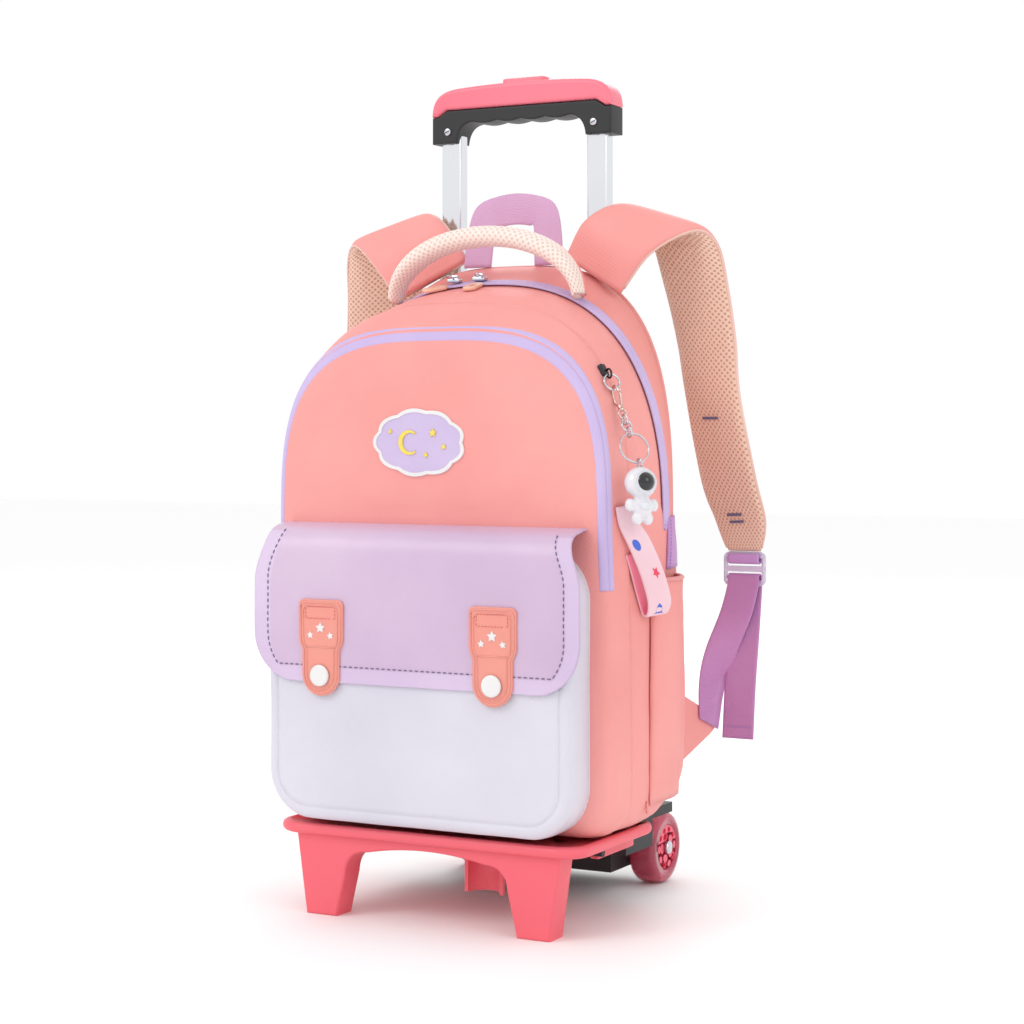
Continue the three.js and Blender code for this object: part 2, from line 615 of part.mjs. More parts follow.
// Shoulder straps: sewn to the bag's top edge, up over a crest, and down as a padded limb
const strapTable = [
  { x: 0.361, y: -0.20, z: 0.850, turn: -17, rise: -28, wide: 1.00, thick: 0.80 },
  { x: 0.469, y: -0.20, z: 0.945, turn: -12, rise: -24, wide: 1.06, thick: 1.00 },
  { x: 0.598, y: 0.05, z: 1.000, turn: -8, rise: -18, wide: 1.10, thick: 1.00 },
  { x: 0.675, y: 0.27, z: 0.945, turn: -12, rise: -13, wide: 1.04, thick: 1.00 },
  { x: 0.711, y: 0.45, z: 0.792, turn: -17, rise: -3, wide: 0.97, thick: 1.00 },
  { x: 0.740, y: 0.55, z: 0.630, turn: -21, rise: 0, wide: 0.94, thick: 1.00 },
  { x: 0.761, y: 0.58, z: 0.474, turn: -24, rise: 0, wide: 0.92, thick: 1.00 },
  { x: 0.830, y: 0.58, z: 0.212, turn: -24, rise: 0, wide: 0.92, thick: 0.95 },
  { x: 0.881, y: 0.57, z: 0.092, turn: -16, rise: 3, wide: 0.72, thick: 0.80 },
  { x: 0.897, y: 0.58, z: 0.000, turn: 0, rise: 0, wide: 0.41, thick: 0.28 },
];
const strapFoot = bag.floor + strap.foot;
const strapRows = smoothRows(strapTable.map(({ x, y, z, turn, rise, wide, thick }) => ({
  x: x * strap.reach,
  y: backFace + y * strap.back,
  z: strapFoot + z * strap.tall,
  turn, rise, wide: wide * strap.width, thick: thick * strap.thick,
})), 18);
const root = strapRows[0];
root.z = topZ(root.x, root.y) + gap + root.thick / 2 / Math.cos(root.rise * rad) - strap.rootSink;
addPair('shoulder_strap', stripOf(strapRows, padSection), coral, 0.65);

// Adjuster, the loop that holds it to the strap's foot, and the long webbing through it
const foot = strapRows.at(-1);
const slotSpan = adjuster.slotWide / 2;
const adjusterTop = foot.z - gap;
const upperSlot = adjusterTop - adjuster.bar - adjuster.slot / 2;
const lowerSlot = adjusterTop - adjuster.tall + adjuster.bar + adjuster.slot / 2;
const adjusterShape = new THREE.Shape(
  roundedBox(adjuster.wide, adjuster.tall, 5, 3).map(([x, z]) => new THREE.Vector2(x, z)),
);
for (const z of [upperSlot, lowerSlot]) {
  const middle = z - adjusterTop + adjuster.tall / 2;
  const slot = [[-1, -1], [-1, 1], [1, 1], [1, -1]];
  adjusterShape.holes.push(new THREE.Path(slot.map(([a, b]) => new THREE.Vector2(
    a * slotSpan, middle + b * adjuster.slot / 2,
  ))));
}
addPair('adjuster', slabOf(adjusterShape, -adjuster.thick / 2, adjuster.thick)
  .translate(foot.x, foot.y, adjusterTop - adjuster.tall / 2), 0xeadff2, 0.2);

const hugY = adjuster.thick / 2 + gap + webbing.thick / 2;
const webSize = { wide: webbing.width, thick: webbing.thick };
const webRow = (x, y, z, turn = 0, rise = 0) => ({ x, y, z, turn, rise, ...webSize });
const loopBand = [[-1, 7], [-1, 1.6], [-0.45, 0], [0.45, 0], [1, 1.6], [1, 7]].map(([a, up]) => webRow(
  foot.x, foot.y + a * hugY, upperSlot - 0.8 + up,
));
addPair('strap_loop', stripOf(loopBand, flatSection), lilacWeb, 0.7);

const tabAngle = cornerTab.turn * rad;
const tabRoot = v3(cornerTab.place, backFace + gap, bag.floor + cornerTab.low);
const tabOut = v3(Math.sin(tabAngle), Math.cos(tabAngle), 0);
const tabSide = v3(Math.cos(tabAngle), -Math.sin(tabAngle), 0);
const tabOutline = [
  [0, 0], [cornerTab.length * 0.86, cornerTab.height * 0.36], [cornerTab.length, cornerTab.height * 0.47],
  [cornerTab.length * 0.9, cornerTab.height * 0.62], [0, cornerTab.height],
];
const cornerPlate = slabOf(tabOutline, -cornerTab.thick / 2, cornerTab.thick);
cornerPlate.rotateZ(Math.PI / 2 - tabAngle);
cornerPlate.translate(...tabRoot.toArray());
addPair('corner_tab', cornerPlate, coral, 0.62);

const webFoot = tabRoot.clone()
  .addScaledVector(tabOut, cornerTab.length * 0.76)
  .addScaledVector(tabSide, cornerTab.thick / 2 + gap + webbing.thick / 2);
const tailEnd = bag.floor + webbing.tail;
const climb = lowerSlot - webFoot.z;
const webRows = [
  webRow(webFoot.x, webFoot.y, webFoot.z + cornerTab.height * 0.5, 90 - cornerTab.turn, -24),
  webRow(webFoot.x + 3, webFoot.y - 1, webFoot.z + climb * 0.40, 62, -8),
  webRow(webFoot.x + 12, foot.y - hugY, webFoot.z + climb * 0.60, 32, 0),
  webRow(foot.x - 6, foot.y - hugY, webFoot.z + climb * 0.80, 8, 0),
  webRow(foot.x, foot.y - hugY, lowerSlot - 6),
  webRow(foot.x, foot.y - hugY, lowerSlot - 1.2),
  webRow(foot.x, foot.y - hugY * 0.45, lowerSlot + 0.9),
  webRow(foot.x, foot.y + hugY * 0.45, lowerSlot + 0.9),
  webRow(foot.x, foot.y + hugY, lowerSlot - 1.2),
  webRow(foot.x, foot.y + hugY + 0.5, lowerSlot - 8),
  webRow(foot.x - 3, foot.y + hugY + 2, lowerSlot - 45),
  webRow(foot.x - 6, foot.y + hugY + 2, lowerSlot - 85),
  webRow(foot.x - 7, foot.y + hugY, tailEnd),
];
addPair('webbing', stripOf(webRows, flatSection), lilacWeb, 0.7);

// Sleeve across the back, round both trolley tubes
const tubeBack = tube.place + tube.deep / 2 + tube.wall + gap;
const sleeveBand = [
  [-1, 0], [-0.86, 0], [-0.76, 0.9], [-0.68, 1], [0, 1], [0.68, 1], [0.76, 0.9], [0.86, 0], [1, 0],
].map(([along, out]) => {
  const seat = backFace + gap + sleeve.thick / 2;
  const reach = tubeBack + gap + sleeve.thick / 2 - seat;
  return {
    x: along * sleeve.width / 2, y: seat + out * reach, z: bag.floor + sleeve.low + sleeve.height / 2,
    turn: 0, rise: 90, wide: sleeve.height, thick: sleeve.thick,
  };
});
add('trolley_sleeve', stripOf(sleeveBand, flatSection), coral, 0.65);

// Two sliders on the main tape with their rubber pulls lying forward
const highest = (x, y, halfX, halfY) => Math.max(...[-1, 1].flatMap((a) => [-1, 1].map(
  (b) => topZ(x + a * halfX, y + b * halfY),
)));
for (const [name, side] of sides) {
  const x = puller.middle + side * puller.spread / 2;
  const [long, wide, tall] = [puller.slider[1], puller.slider[0], puller.slider[2]];
  const block = boxOf([-long / 2, -wide / 2, 0], [long / 2, wide / 2, tall]);
  const seat = highest(x, mainTapeY, long / 2, wide / 2) + gap + tape.thick + gap;
  add(`slider_${name}`, block.translate(x, mainTapeY, seat), steel, 0.3, 0.9);
  const drop = mainTapeY - tape.mainWidth / 2 - gap;
  const ring = new THREE.Shape(roundedBox(puller.wide, puller.long, puller.wide / 2 - 0.5, 4)
    .map(([a, b]) => new THREE.Vector2(a, b)));
  ring.holes.push(new THREE.Path(roundedBox(puller.wide * 0.3, puller.long * 0.5, 1.5, 2)
    .reverse().map(([a, b]) => new THREE.Vector2(a, b))));
  const pull = new THREE.ExtrudeGeometry(ring, { depth: puller.thick, bevelEnabled: false });
  const fore = drop - puller.long;
  const slope = Math.atan2(topZ(x, drop) - topZ(x, fore), puller.long);
  pull.translate(0, -puller.long / 2, 0);
  pull.rotateZ(side * 0.3 - 0.25);
  pull.rotateX(slope);
  add(`pull_${name}`, pull.translate(x + side * 3, drop - 1.5, topZ(x, drop) + gap + 0.5), mesh, 0.45);
}

// Charm on the side: slider, ring, clasp, links, split ring and a small spaceman
const charmZ = bag.floor + charm.z;
const sideSlope = Math.atan2(sideX(charm.y, charmZ - 6) - sideX(charm.y, charmZ + 6), 12);
const sideOut = v3(Math.cos(sideSlope), 0, Math.sin(sideSlope));
const offSide = (reach) => v3(sideX(charm.y, charmZ), charm.y, charmZ).addScaledVector(sideOut, reach);
const down = v3(charm.lean, charm.sway, -1).normalize();
const squareTo = (vector, way) => vector.clone().addScaledVector(way, -vector.dot(way)).normalize();
const facing = v3(charm.facing[0], charm.facing[1], 0);
const outward = squareTo(facing, down);
const beside = down.clone().cross(outward);
const place = (geometry, normal, at, way = down) => geometry
  .applyMatrix4(new THREE.Matrix4().makeBasis(way.clone().cross(normal), way, normal))
  .translate(...at.toArray());
const linkOf = (radius, normal, at, long = 1, steps = 8) => place(
  new THREE.TorusGeometry(radius, charm.wire, 5, steps).scale(1, long, 1), normal, at,
);
const onward = (at, reach, way = down) => at.clone().addScaledVector(way, reach);
const bite = 2 * charm.wire + 2 * gap;

const [sliderThick, sliderWide, sliderLong] = charm.slider;
const [halfWide, halfLong] = [sliderWide / 2, sliderLong / 2];
const charmSlider = boxOf([0, -halfWide, -halfLong], [sliderThick, halfWide, halfLong])
  .rotateY(-sideSlope)
  .translate(...offSide(gap + charm.lift).toArray());
const eyeAt = onward(offSide(gap + charm.lift + sliderThick + charm.eye / 2), halfLong);
add('side_slider', joined(charmSlider, linkOf(charm.eye, beside, eyeAt)), black, 0.35, 0.4);

const pullAt = onward(eyeAt, charm.eye + charm.pull - bite);
add('side_pull_ring', linkOf(charm.pull, outward, pullAt, 1, 12), steel, 0.25, 0.95);
const claspHalf = charm.hook * 1.5;
const claspAt = onward(pullAt, charm.pull + claspHalf - bite);
const swivelAt = onward(claspAt, claspHalf + charm.swivel + charm.eye - charm.wire);
add('lobster_clasp', joined(
  linkOf(charm.hook, beside, claspAt, 1.5),
  place(
    new THREE.CylinderGeometry(charm.wire * 2, charm.wire * 2.5, charm.swivel + charm.wire * 2, 8),
    outward,
    onward(claspAt, claspHalf + charm.swivel / 2),
  ),
  linkOf(charm.eye, outward, swivelAt),
), steel, 0.25, 0.95);
let linkAt = swivelAt;
let reach = charm.eye;
for (let i = 1; i <= charm.links; i++) {
  linkAt = onward(linkAt, reach + charm.link - bite);
  add(`chain_link_${i}`, linkOf(charm.link, i % 2 ? beside : outward, linkAt), steel, 0.25, 0.95);
  reach = charm.link;
}
const splitAt = onward(linkAt, charm.link + charm.ring - bite);
add('split_ring', linkOf(charm.ring, outward, splitAt, 1, 16), steel, 0.25, 0.95);

const hang = v3(charm.figureLean, -charm.figureLean, -1).normalize();
const face = squareTo(facing, hang);
const figureSide = hang.clone().cross(face);
const ball = (size, scale, at, wide = 6, tall = 5) => place(
  new THREE.SphereGeometry(size, wide, tall).scale(...scale), face, at, hang,
);
const head = charm.head;
const figureEye = onward(splitAt, charm.ring + charm.eye - bite, squareTo(hang, outward));
const headAt = onward(figureEye, charm.eye + head * 0.9, hang);
const bodyAt = onward(headAt, head * 1.45, hang);
const limbAt = (along, aside) => onward(bodyAt, along * head, hang).addScaledVector(figureSide, aside * head);
const visorAt = onward(headAt, head * 0.62, face);
const visorOf = (grow) => ball(head * 0.55 + grow, [0.82, 1, 0.9], visorAt, 8, 6);
const figure = joined(
  linkOf(charm.eye, beside, figureEye),
  ball(head, [1.04, 0.98, 0.86], headAt, 10, 7),
  ball(head * 0.72, [1, 0.95, 0.8], bodyAt, 8, 6),
  ...[-1, 1].flatMap((side) => [
    ball(head * 0.32, [1, 1.3, 1], limbAt(-0.08, side * 0.82)),
    ball(head * 0.36, [1, 1.2, 1], limbAt(0.72, side * 0.36)),
  ]),
);
add('spaceman', cut(figure, visorOf(0.35)), 0xf2eef0, 0.35);
add('spaceman_visor', visorOf(0), black, 0.1);

// Soft printed band: down from behind the spaceman, round its lowest bend and part way up again
const bandTable = [
  { down: 0.00, back: -0.103, off: 0.064, turn: 76, rise: 6 },
  { down: 0.16, back: -0.051, off: 0.083, turn: 58, rise: 8 },
  { down: 0.34, back: 0.013, off: 0.147, turn: 36, rise: 10 },
  { down: 0.60, back: 0.128, off: 0.192, turn: 28, rise: 10 },
  { down: 0.85, back: 0.231, off: 0.205, turn: 32, rise: 10 },
  { down: 0.97, back: 0.282, off: 0.167, turn: 48, rise: 8 },
  { down: 1.00, back: 0.308, off: 0.115, turn: 60, rise: 6 },
  { down: 0.96, back: 0.308, off: 0.069, turn: 72, rise: 4 },
  { down: 0.80, back: 0.244, off: 0.041, turn: 82, rise: 4 },
  { down: 0.60, back: 0.154, off: 0.036, turn: 84, rise: 4 },
  { down: 0.44, back: 0.077, off: 0.033, turn: 86, rise: 4 },
];
const bandRows = smoothRows(bandTable.map(({ down: low, back, off, turn, rise }) => {
  const [y, z] = [charm.y + back * charm.drop, bodyAt.z - low * charm.drop];
  const x = sideX(y, z) + off * charm.drop;
  return { x, y, z, turn, rise, wide: charm.band, thick: charm.bandThick };
}), 22);
add('charm_band', stripOf(bandRows, flatSection), 0xffb3c6, 0.3);

// Trolley: base plate with its two front legs, skirt, side rails and the half-round clip beneath
const plateTop = bag.floor - gap;
const plateLow = plateTop - plate.thick;
const plateMiddle = (plate.front + plate.back) / 2;
const plateDeep = plate.back - plate.front;
const plateOutline = roundedBox(plate.width, plateDeep, plate.corner, 4)
  .map(([x, y]) => [x, y + plateMiddle]);
const plateRim = roundedBox(plate.width - 5, plateDeep - 5, plate.corner - 2, 4)
  .map(([x, y]) => [x, y + plateMiddle]);
const plateBoard = loftOf([[plateRim, plateLow], [plateOutline, plateLow + 2], [plateOutline, plateTop - 2.4],
  [plateRim, plateTop]].map(([ring, z]) => ring.map(([x, y]) => v3(x, y, z))));

const legShape = new THREE.Shape();
const legMiddle = legs.spread / 2;
const legTop = plateLow + 1;
const archSide = legMiddle - legs.head / 2;
const footIn = legMiddle - legs.foot / 2;
const footOut = legMiddle + legs.foot / 2;
legShape.moveTo(-footOut, 0);
legShape.lineTo(-footIn, 0);
legShape.lineTo(-archSide - 1, legs.archTop - legs.archCorner);
legShape.quadraticCurveTo(-archSide, legs.archTop, -archSide + legs.archCorner, legs.archTop);
legShape.quadraticCurveTo(0, legs.archTop + 2 * legs.crown, archSide - legs.archCorner, legs.archTop);
legShape.quadraticCurveTo(archSide, legs.archTop, archSide + 1, legs.archTop - legs.archCorner);
legShape.lineTo(footIn, 0);
legShape.lineTo(footOut, 0);
legShape.lineTo(legMiddle + legs.head / 2, legTop);
legShape.lineTo(-legMiddle - legs.head / 2, legTop);
legShape.lineTo(-footOut, 0);
const legWall = slabOf(legShape, legs.front, legs.depth);
const rails = [-1, 1].map((side) => boxOf(
  [side * rail.place - rail.width / 2, rail.front, plateLow - rail.drop],
  [side * rail.place + rail.width / 2, plate.back - 3, plateLow + 1],
));
const clipArc = (radius) => Array.from({ length: 9 }, (_, i) => {
  const a = (90 - clip.arc / 2 + clip.arc * i / 8) * rad;
  return [clip.x + radius * Math.cos(a), clip.y + radius * Math.sin(a)];
});
const clipWall = postOf([...clipArc(clip.radius), ...clipArc(clip.radius - clip.thick).reverse()],
  plateLow - clip.drop, plateLow + 1);
add('base_plate', joined(plateBoard, legWall, ...rails, clipWall), hotPink, 0.4);

// Rear housing: sockets for the tubes, wings over the plate's back corners, beam for the axle, stays
const wingLow = plateTop + gap;
const wingSide = [
  [housing.wingFront, wingLow], [tube.place + 8, wingLow], [tube.place + 8, housing.wingTop],
  [housing.wingFront + 20, housing.wingTop], [housing.wingFront, wingLow + 1.2],
];
const wing = slabOf(wingSide, -housing.wing, 2 * housing.wing).rotateZ(Math.PI / 2);
const stayX = rail.place - rail.width / 2 - gap - housing.stay;
const blockHalf = stayX + housing.stay;
const socketBlock = boxOf(
  [-blockHalf, plate.back + gap, tube.seat - 6],
  [blockHalf, tube.place + housing.deep, housing.wingTop],
);
const beamHalf = wheel.track / 2 - wheel.width / 2 - 2;
const beam = boxOf([-beamHalf, tube.place + 15, axle.z - 13], [beamHalf, wheel.place + 11, axle.z + 20]);
const stays = [-1, 1].flatMap((side) => {
  const x = side * stayX;
  const hook = x + side * housing.stayHook;
  return [
    new THREE.CylinderGeometry(housing.stay, housing.stay, plate.back + 16 - rail.front, 8)
      .translate(x, (plate.back + rail.front) / 2, plateLow - housing.stay - 3),
    rodAlongX(housing.stay, Math.min(x, hook), Math.max(x, hook), 8)
      .translate(0, rail.front - housing.stay - gap - 1, plateLow - housing.stay - 3),
  ];
});
const socketHoles = [-1, 1].map((side) => postOf(
  roundedBox(tube.wide + 2 * (tube.wall + 2 * gap), tube.deep + 2 * (tube.wall + 2 * gap), tube.corner + 1.5)
    .map(([x, y]) => [x + side * tube.spacing / 2, y + tube.place]),
  tube.seat, housing.wingTop + 1,
));
const axleHole = rodAlongX(wheel.bore, -beamHalf - 1, beamHalf + 1).translate(0, wheel.place, axle.z);
add('rear_housing', cut(joined(socketBlock, wing, beam, ...stays), ...socketHoles, axleHole), black, 0.5);

// Axle with a cap at each end, and the two wheels that turn on it
const axleHalf = wheel.track / 2 + wheel.width / 2 + gap;
const axleRod = rodAlongX(axle.radius, -axleHalf - 0.2, axleHalf + 0.2);
const caps = [-1, 1].map((side) => rodAlongX(
  axle.cap, ...[axleHalf, axleHalf + axle.capThick].map((x) => x * side).sort((a, b) => a - b),
));
add('axle', joined(axleRod, ...caps).translate(0, wheel.place, axle.z), steel, 0.3, 0.9);

const flatTurn = Math.PI / wheel.sides;
const tyreProfile = [
  [wheel.hub + gap, -0.5], [wheel.radius - wheel.shoulder, -0.5], [wheel.radius, -0.24],
  [wheel.radius, 0.24], [wheel.radius - wheel.shoulder, 0.5], [wheel.hub + gap, 0.5],
  [wheel.hub + gap, -0.5],
].map(([r, x]) => new THREE.Vector2(r / Math.cos(flatTurn), x * wheel.width));
const hubShape = new THREE.Shape(roundPoints(wheel.hub, 24));
const holes = [
  { count: 10, place: 0.80, size: 0.105, turn: 0 },
  { count: 5, place: 0.50, size: 0.150, turn: 0.5 },
];
for (const { count, place: out, size, turn } of holes) {
  for (let i = 0; i < count; i++) {
    const a = (i + turn) / count * 2 * Math.PI;
    hubShape.holes.push(new THREE.Path(roundPoints(wheel.hub * size, 5, a).reverse().map((p) => p.add(
      new THREE.Vector2(wheel.hub * out * Math.cos(a), wheel.hub * out * Math.sin(a)),
    ))));
  }
}
hubShape.holes.push(new THREE.Path(roundPoints(wheel.bore, 12).reverse()));
for (const [name, side] of sides) {
  const x = side * wheel.track / 2;
  const tyre = new THREE.LatheGeometry(tyreProfile, wheel.sides).rotateY(flatTurn).rotateZ(Math.PI / 2);
  add(`tyre_${name}`, tyre.translate(x, wheel.place, axle.z), 0xc8405c, 0.25);
  const hub = new THREE.ExtrudeGeometry(hubShape, { depth: wheel.width - 1, bevelEnabled: false });
  hub.translate(0, 0, -(wheel.width - 1) / 2).rotateY(Math.PI / 2);
  add(`hub_${name}`, hub.translate(x, wheel.place, axle.z), 0xff5070, 0.35);
}

// Telescopic tubes: outer pair in the housing, inner pair up to the handle
const tubeRing = (grow, z, side) => roundedBox(tube.wide + 2 * grow, tube.deep + 2 * grow, tube.corner + grow)
  .map(([x, y]) => v3(x + side * tube.spacing / 2, y + tube.place, z));
const pipeOf = (outer, inner, low, high, side) => wallBetween(
  [tubeRing(outer, low, side), tubeRing(outer, high, side)],
  [tubeRing(inner, low, side), tubeRing(inner, high, side)],
  true,
);
const handleBottom = handle.top - handle.tall;
const handleTubeTop = handleBottom + handle.tubeIn;
for (const [name, side] of sides) {
  add(`outer_tube_${name}`, pipeOf(tube.wall + gap, gap, tube.seat + gap, tube.top, side), steel, 0.3, 0.9);
  add(`inner_tube_${name}`, pipeOf(0, -1.3, tube.innerFoot, handleTubeTop, side), 0xe4e6ea, 0.2, 0.9);
}

// Handle: black grip with finger waves and sockets, pink cover, release button and two screws
const gripHalf = handle.width / 2;
const socketIn = gripHalf - handle.socket;
const barLow = handle.top - handle.underBar;
const barHigh = handle.top - handle.overBar;
const lipHigh = (barLow + barHigh) / 2;
const coverLine = [[gripHalf, lipHigh], [gripHalf - 5, lipHigh], [gripHalf - 13, barHigh]];
const grip = new THREE.Shape();
grip.moveTo(-gripHalf, handleBottom);
grip.lineTo(-socketIn, handleBottom);
grip.quadraticCurveTo(-socketIn + 1.5, barLow - 1, -socketIn + 14, barLow);
const waves = 4;
const waveSteps = 3;
const waveHalf = socketIn - 14;
for (let i = 1; i <= waves * waveSteps; i++) {
  const share = i / (waves * waveSteps);
  const z = barLow - handle.waveDeep * Math.abs(Math.sin(share * waves * Math.PI));
  grip.lineTo(-waveHalf + 2 * waveHalf * share, z);
}
grip.quadraticCurveTo(socketIn - 1.5, barLow - 1, socketIn, handleBottom);
grip.lineTo(gripHalf, handleBottom);
coverLine.forEach(([x, z]) => grip.lineTo(x, z));
[...coverLine].reverse().forEach(([x, z]) => grip.lineTo(-x, z));
grip.lineTo(-gripHalf, handleBottom);
const handleFront = tube.place - handle.deep / 2;
const tubeHoles = [-1, 1].map((side) => postOf(
  roundedBox(tube.wide + 2 * gap, tube.deep + 2 * gap, tube.corner + gap)
    .map(([x, y]) => [x + side * tube.spacing / 2, y + tube.place]),
  handleBottom - 1, handleTubeTop + gap,
));
add('handle_grip', cut(slabOf(grip, handleFront, handle.deep, 1.2), ...tubeHoles), black, 0.55);

const cover = new THREE.Shape();
const coverHalf = gripHalf + 0.4;
cover.moveTo(-coverHalf, lipHigh + gap);
cover.lineTo(-coverLine[1][0], lipHigh + gap);
cover.lineTo(-coverLine[2][0], barHigh + gap);
cover.lineTo(coverLine[2][0], barHigh + gap);
cover.lineTo(coverLine[1][0], lipHigh + gap);
cover.lineTo(coverHalf, lipHigh + gap);
const crownIn = coverHalf - handle.crown;
const crownEnd = handle.top - 2;
cover.bezierCurveTo(coverHalf, handle.top - 8, coverHalf - 9, crownEnd - 1, crownIn, crownEnd);
cover.quadraticCurveTo(0, handle.top + 1.5, -crownIn, crownEnd);
cover.bezierCurveTo(9 - coverHalf, crownEnd - 1, -coverHalf, handle.top - 8, -coverHalf, lipHigh + gap);
const buttonSeat = handle.top - button.sunk;
const buttonHole = postOf(roundedBox(button.wide + 2 * gap, button.deep + 2 * gap, 3)
  .map(([x, y]) => [x, y + tube.place]), buttonSeat, handle.top + 5);
const coverSlab = slabOf(cover, tube.place - handle.coverDeep / 2, handle.coverDeep, 2);
add('handle_cover', cut(coverSlab, buttonHole), 0xff7f92, 0.35);
const buttonRings = [
  [0, buttonSeat + button.travel + gap],
  [0, handle.top + button.proud - 1.2],
  [-1.2, handle.top + button.proud],
].map(([grow, z]) => roundedBox(button.wide + 2 * grow, button.deep + 2 * grow, 3 + grow)
  .map(([x, y]) => v3(x, y + tube.place, z)));
add('release_button', loftOf(buttonRings), 0xff6f86, 0.35);
for (const [name, side] of sides) {
  const screwHead = new THREE.CylinderGeometry(screw.radius, screw.radius, screw.thick, 10);
  screwHead.translate(side * tube.spacing / 2, handleFront - gap - screw.thick / 2, handleBottom + screw.up);
  add(`screw_${name}`, screwHead, steel, 0.3, 0.9);
}

// The whole stands on its feet and wheels, centred on its own length and width
const box = new THREE.Box3().setFromObject(model);
const middle = box.getCenter(new THREE.Vector3());
model.position.set(-middle.x, -middle.y, -box.min.z);
model.updateMatrixWorld(true);

export default model;
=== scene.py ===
import math
import bmesh
import bpy
import numpy as np
from mathutils import Matrix, Vector


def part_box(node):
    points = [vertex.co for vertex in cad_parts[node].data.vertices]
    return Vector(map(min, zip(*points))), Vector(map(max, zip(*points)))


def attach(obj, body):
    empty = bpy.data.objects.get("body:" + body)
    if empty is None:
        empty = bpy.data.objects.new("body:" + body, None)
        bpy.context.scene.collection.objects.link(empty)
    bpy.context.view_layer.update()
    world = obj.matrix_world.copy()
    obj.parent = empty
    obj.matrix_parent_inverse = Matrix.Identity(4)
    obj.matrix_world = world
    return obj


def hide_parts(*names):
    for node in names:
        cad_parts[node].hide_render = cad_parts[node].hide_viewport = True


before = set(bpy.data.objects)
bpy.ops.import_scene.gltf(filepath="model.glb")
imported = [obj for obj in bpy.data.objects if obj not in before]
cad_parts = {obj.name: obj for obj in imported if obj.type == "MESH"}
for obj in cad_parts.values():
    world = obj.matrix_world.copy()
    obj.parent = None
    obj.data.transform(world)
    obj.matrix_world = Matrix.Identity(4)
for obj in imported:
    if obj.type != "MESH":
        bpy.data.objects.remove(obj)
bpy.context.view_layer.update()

# The picture: a camera level with the bag's middle and to its right, at the photograph's angle,
# a pale floor, and soft studio light from above and both sides.
camera_turn = math.radians(28.2)
plate_front = -101.0
frame_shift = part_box("base_plate")[0].y * 1000 - plate_front
camera_data = bpy.data.cameras.new("camera")
camera_data.sensor_width = 36
camera_data.lens = 78.1
camera_data.shift_y = -0.084
camera = bpy.data.objects.new("camera", camera_data)
camera.location = (0.8095, -1.4711 + frame_shift / 1000, 0.360)
camera.rotation_euler = (math.pi / 2, 0, camera_turn)
bpy.context.scene.collection.objects.link(camera)
bpy.context.scene.camera = camera


def new_material(name, base_color=(0.8, 0.8, 0.8), **values):
    """Material with one Principled BSDF, its plain values set on the shader's own sockets."""
    material = bpy.data.materials.new(name)
    material.use_nodes = True
    shader = material.node_tree.nodes["Principled BSDF"]
    shader.inputs["Base Color"].default_value = (*base_color, 1)
    for key, value in values.items():
        shader.inputs[key.replace("_", " ")].default_value = value
    return material, material.node_tree, shader


def from_hex(code):
    """Linear colour of a six-digit screen colour."""
    channels = [int(code[i:i + 2], 16) / 255 for i in (0, 2, 4)]
    return tuple(c / 12.92 if c <= 0.04045 else ((c + 0.055) / 1.055) ** 2.4 for c in channels)


bpy.ops.mesh.primitive_plane_add(size=14, location=(0, 0, 0))
floor = bpy.context.object
floor.name = "studio_floor"
floor_material, _, _ = new_material("studio_floor", (0.97, 0.97, 0.97), Roughness=0.7)
floor.data.materials.append(floor_material)

world = bpy.data.worlds.new("studio")
bpy.context.scene.world = world
world.use_nodes = True
world.node_tree.nodes["Background"].inputs["Color"].default_value = (1, 1, 1, 1)
world.node_tree.nodes["Background"].inputs["Strength"].default_value = 1.0
studio_lights = [
    {"name": "key_light", "at": (-1.3, -2.2, 2.2), "size": 1.3, "power": 20},
    {"name": "side_light", "at": (2.4, -0.9, 1.5), "size": 1.2, "power": 7},
    {"name": "back_light", "at": (-0.6, 2.2, 2.0), "size": 1.4, "power": 17},
]
for light in studio_lights:
    lamp = bpy.data.lights.new(light["name"], "AREA")
    lamp.energy = light["power"]
    lamp.size = light["size"]
    holder = bpy.data.objects.new(light["name"], lamp)
    holder.location = light["at"]
    holder.rotation_euler = (Vector((0, 0, 0.3)) - holder.location).to_track_quat("-Z", "Y").to_euler()
    bpy.context.scene.collection.objects.link(holder)
bpy.context.scene.view_settings.view_transform = "Standard"

# Main body: satin nylon over thin foam, one tube of cloth with its base, sewn to the front
# compartment along a rolled seam and bound to the back panel behind.
bag_width, bag_height, bag_depth, bag_front, bag_floor = 290.0, 418.0, 120.0, -78.0, 68.0
spring_z = bag_floor + 217
bag_corner = 30.0
bag_sections = np.array([
    # depth, base, arch, top, square, floor
    (0.00, 0.962, 0.930, 0.856, 3.2, 0.014),
    (0.23, 0.972, 0.958, 0.911, 2.9, 0.002),
    (0.44, 0.980, 0.986, 0.936, 2.7, 0.000),
    (0.65, 0.984, 1.000, 0.952, 2.5, 0.001),
    (0.80, 0.980, 0.980, 0.966, 2.6, 0.010),
    (0.92, 0.974, 0.945, 0.984, 2.8, 0.030),
    (1.00, 0.966, 0.915, 0.994, 3.0, 0.046),
])


def through(xs, ys, at):
    """Smooth curve through the points of a table, at the places asked."""
    xs, ys, at = np.asarray(xs, float), np.asarray(ys, float), np.asarray(at, float)
    slope = np.gradient(ys, xs)
    i = np.clip(np.searchsorted(xs, at, side="right") - 1, 0, len(xs) - 2)
    h = xs[i + 1] - xs[i]
    t = np.clip((at - xs[i]) / h, 0, 1)
    return ((2 * t**3 - 3 * t**2 + 1) * ys[i] + (t**3 - 2 * t**2 + t) * h * slope[i]
            + (3 * t**2 - 2 * t**3) * ys[i + 1] + (t**3 - t**2) * h * slope[i + 1])


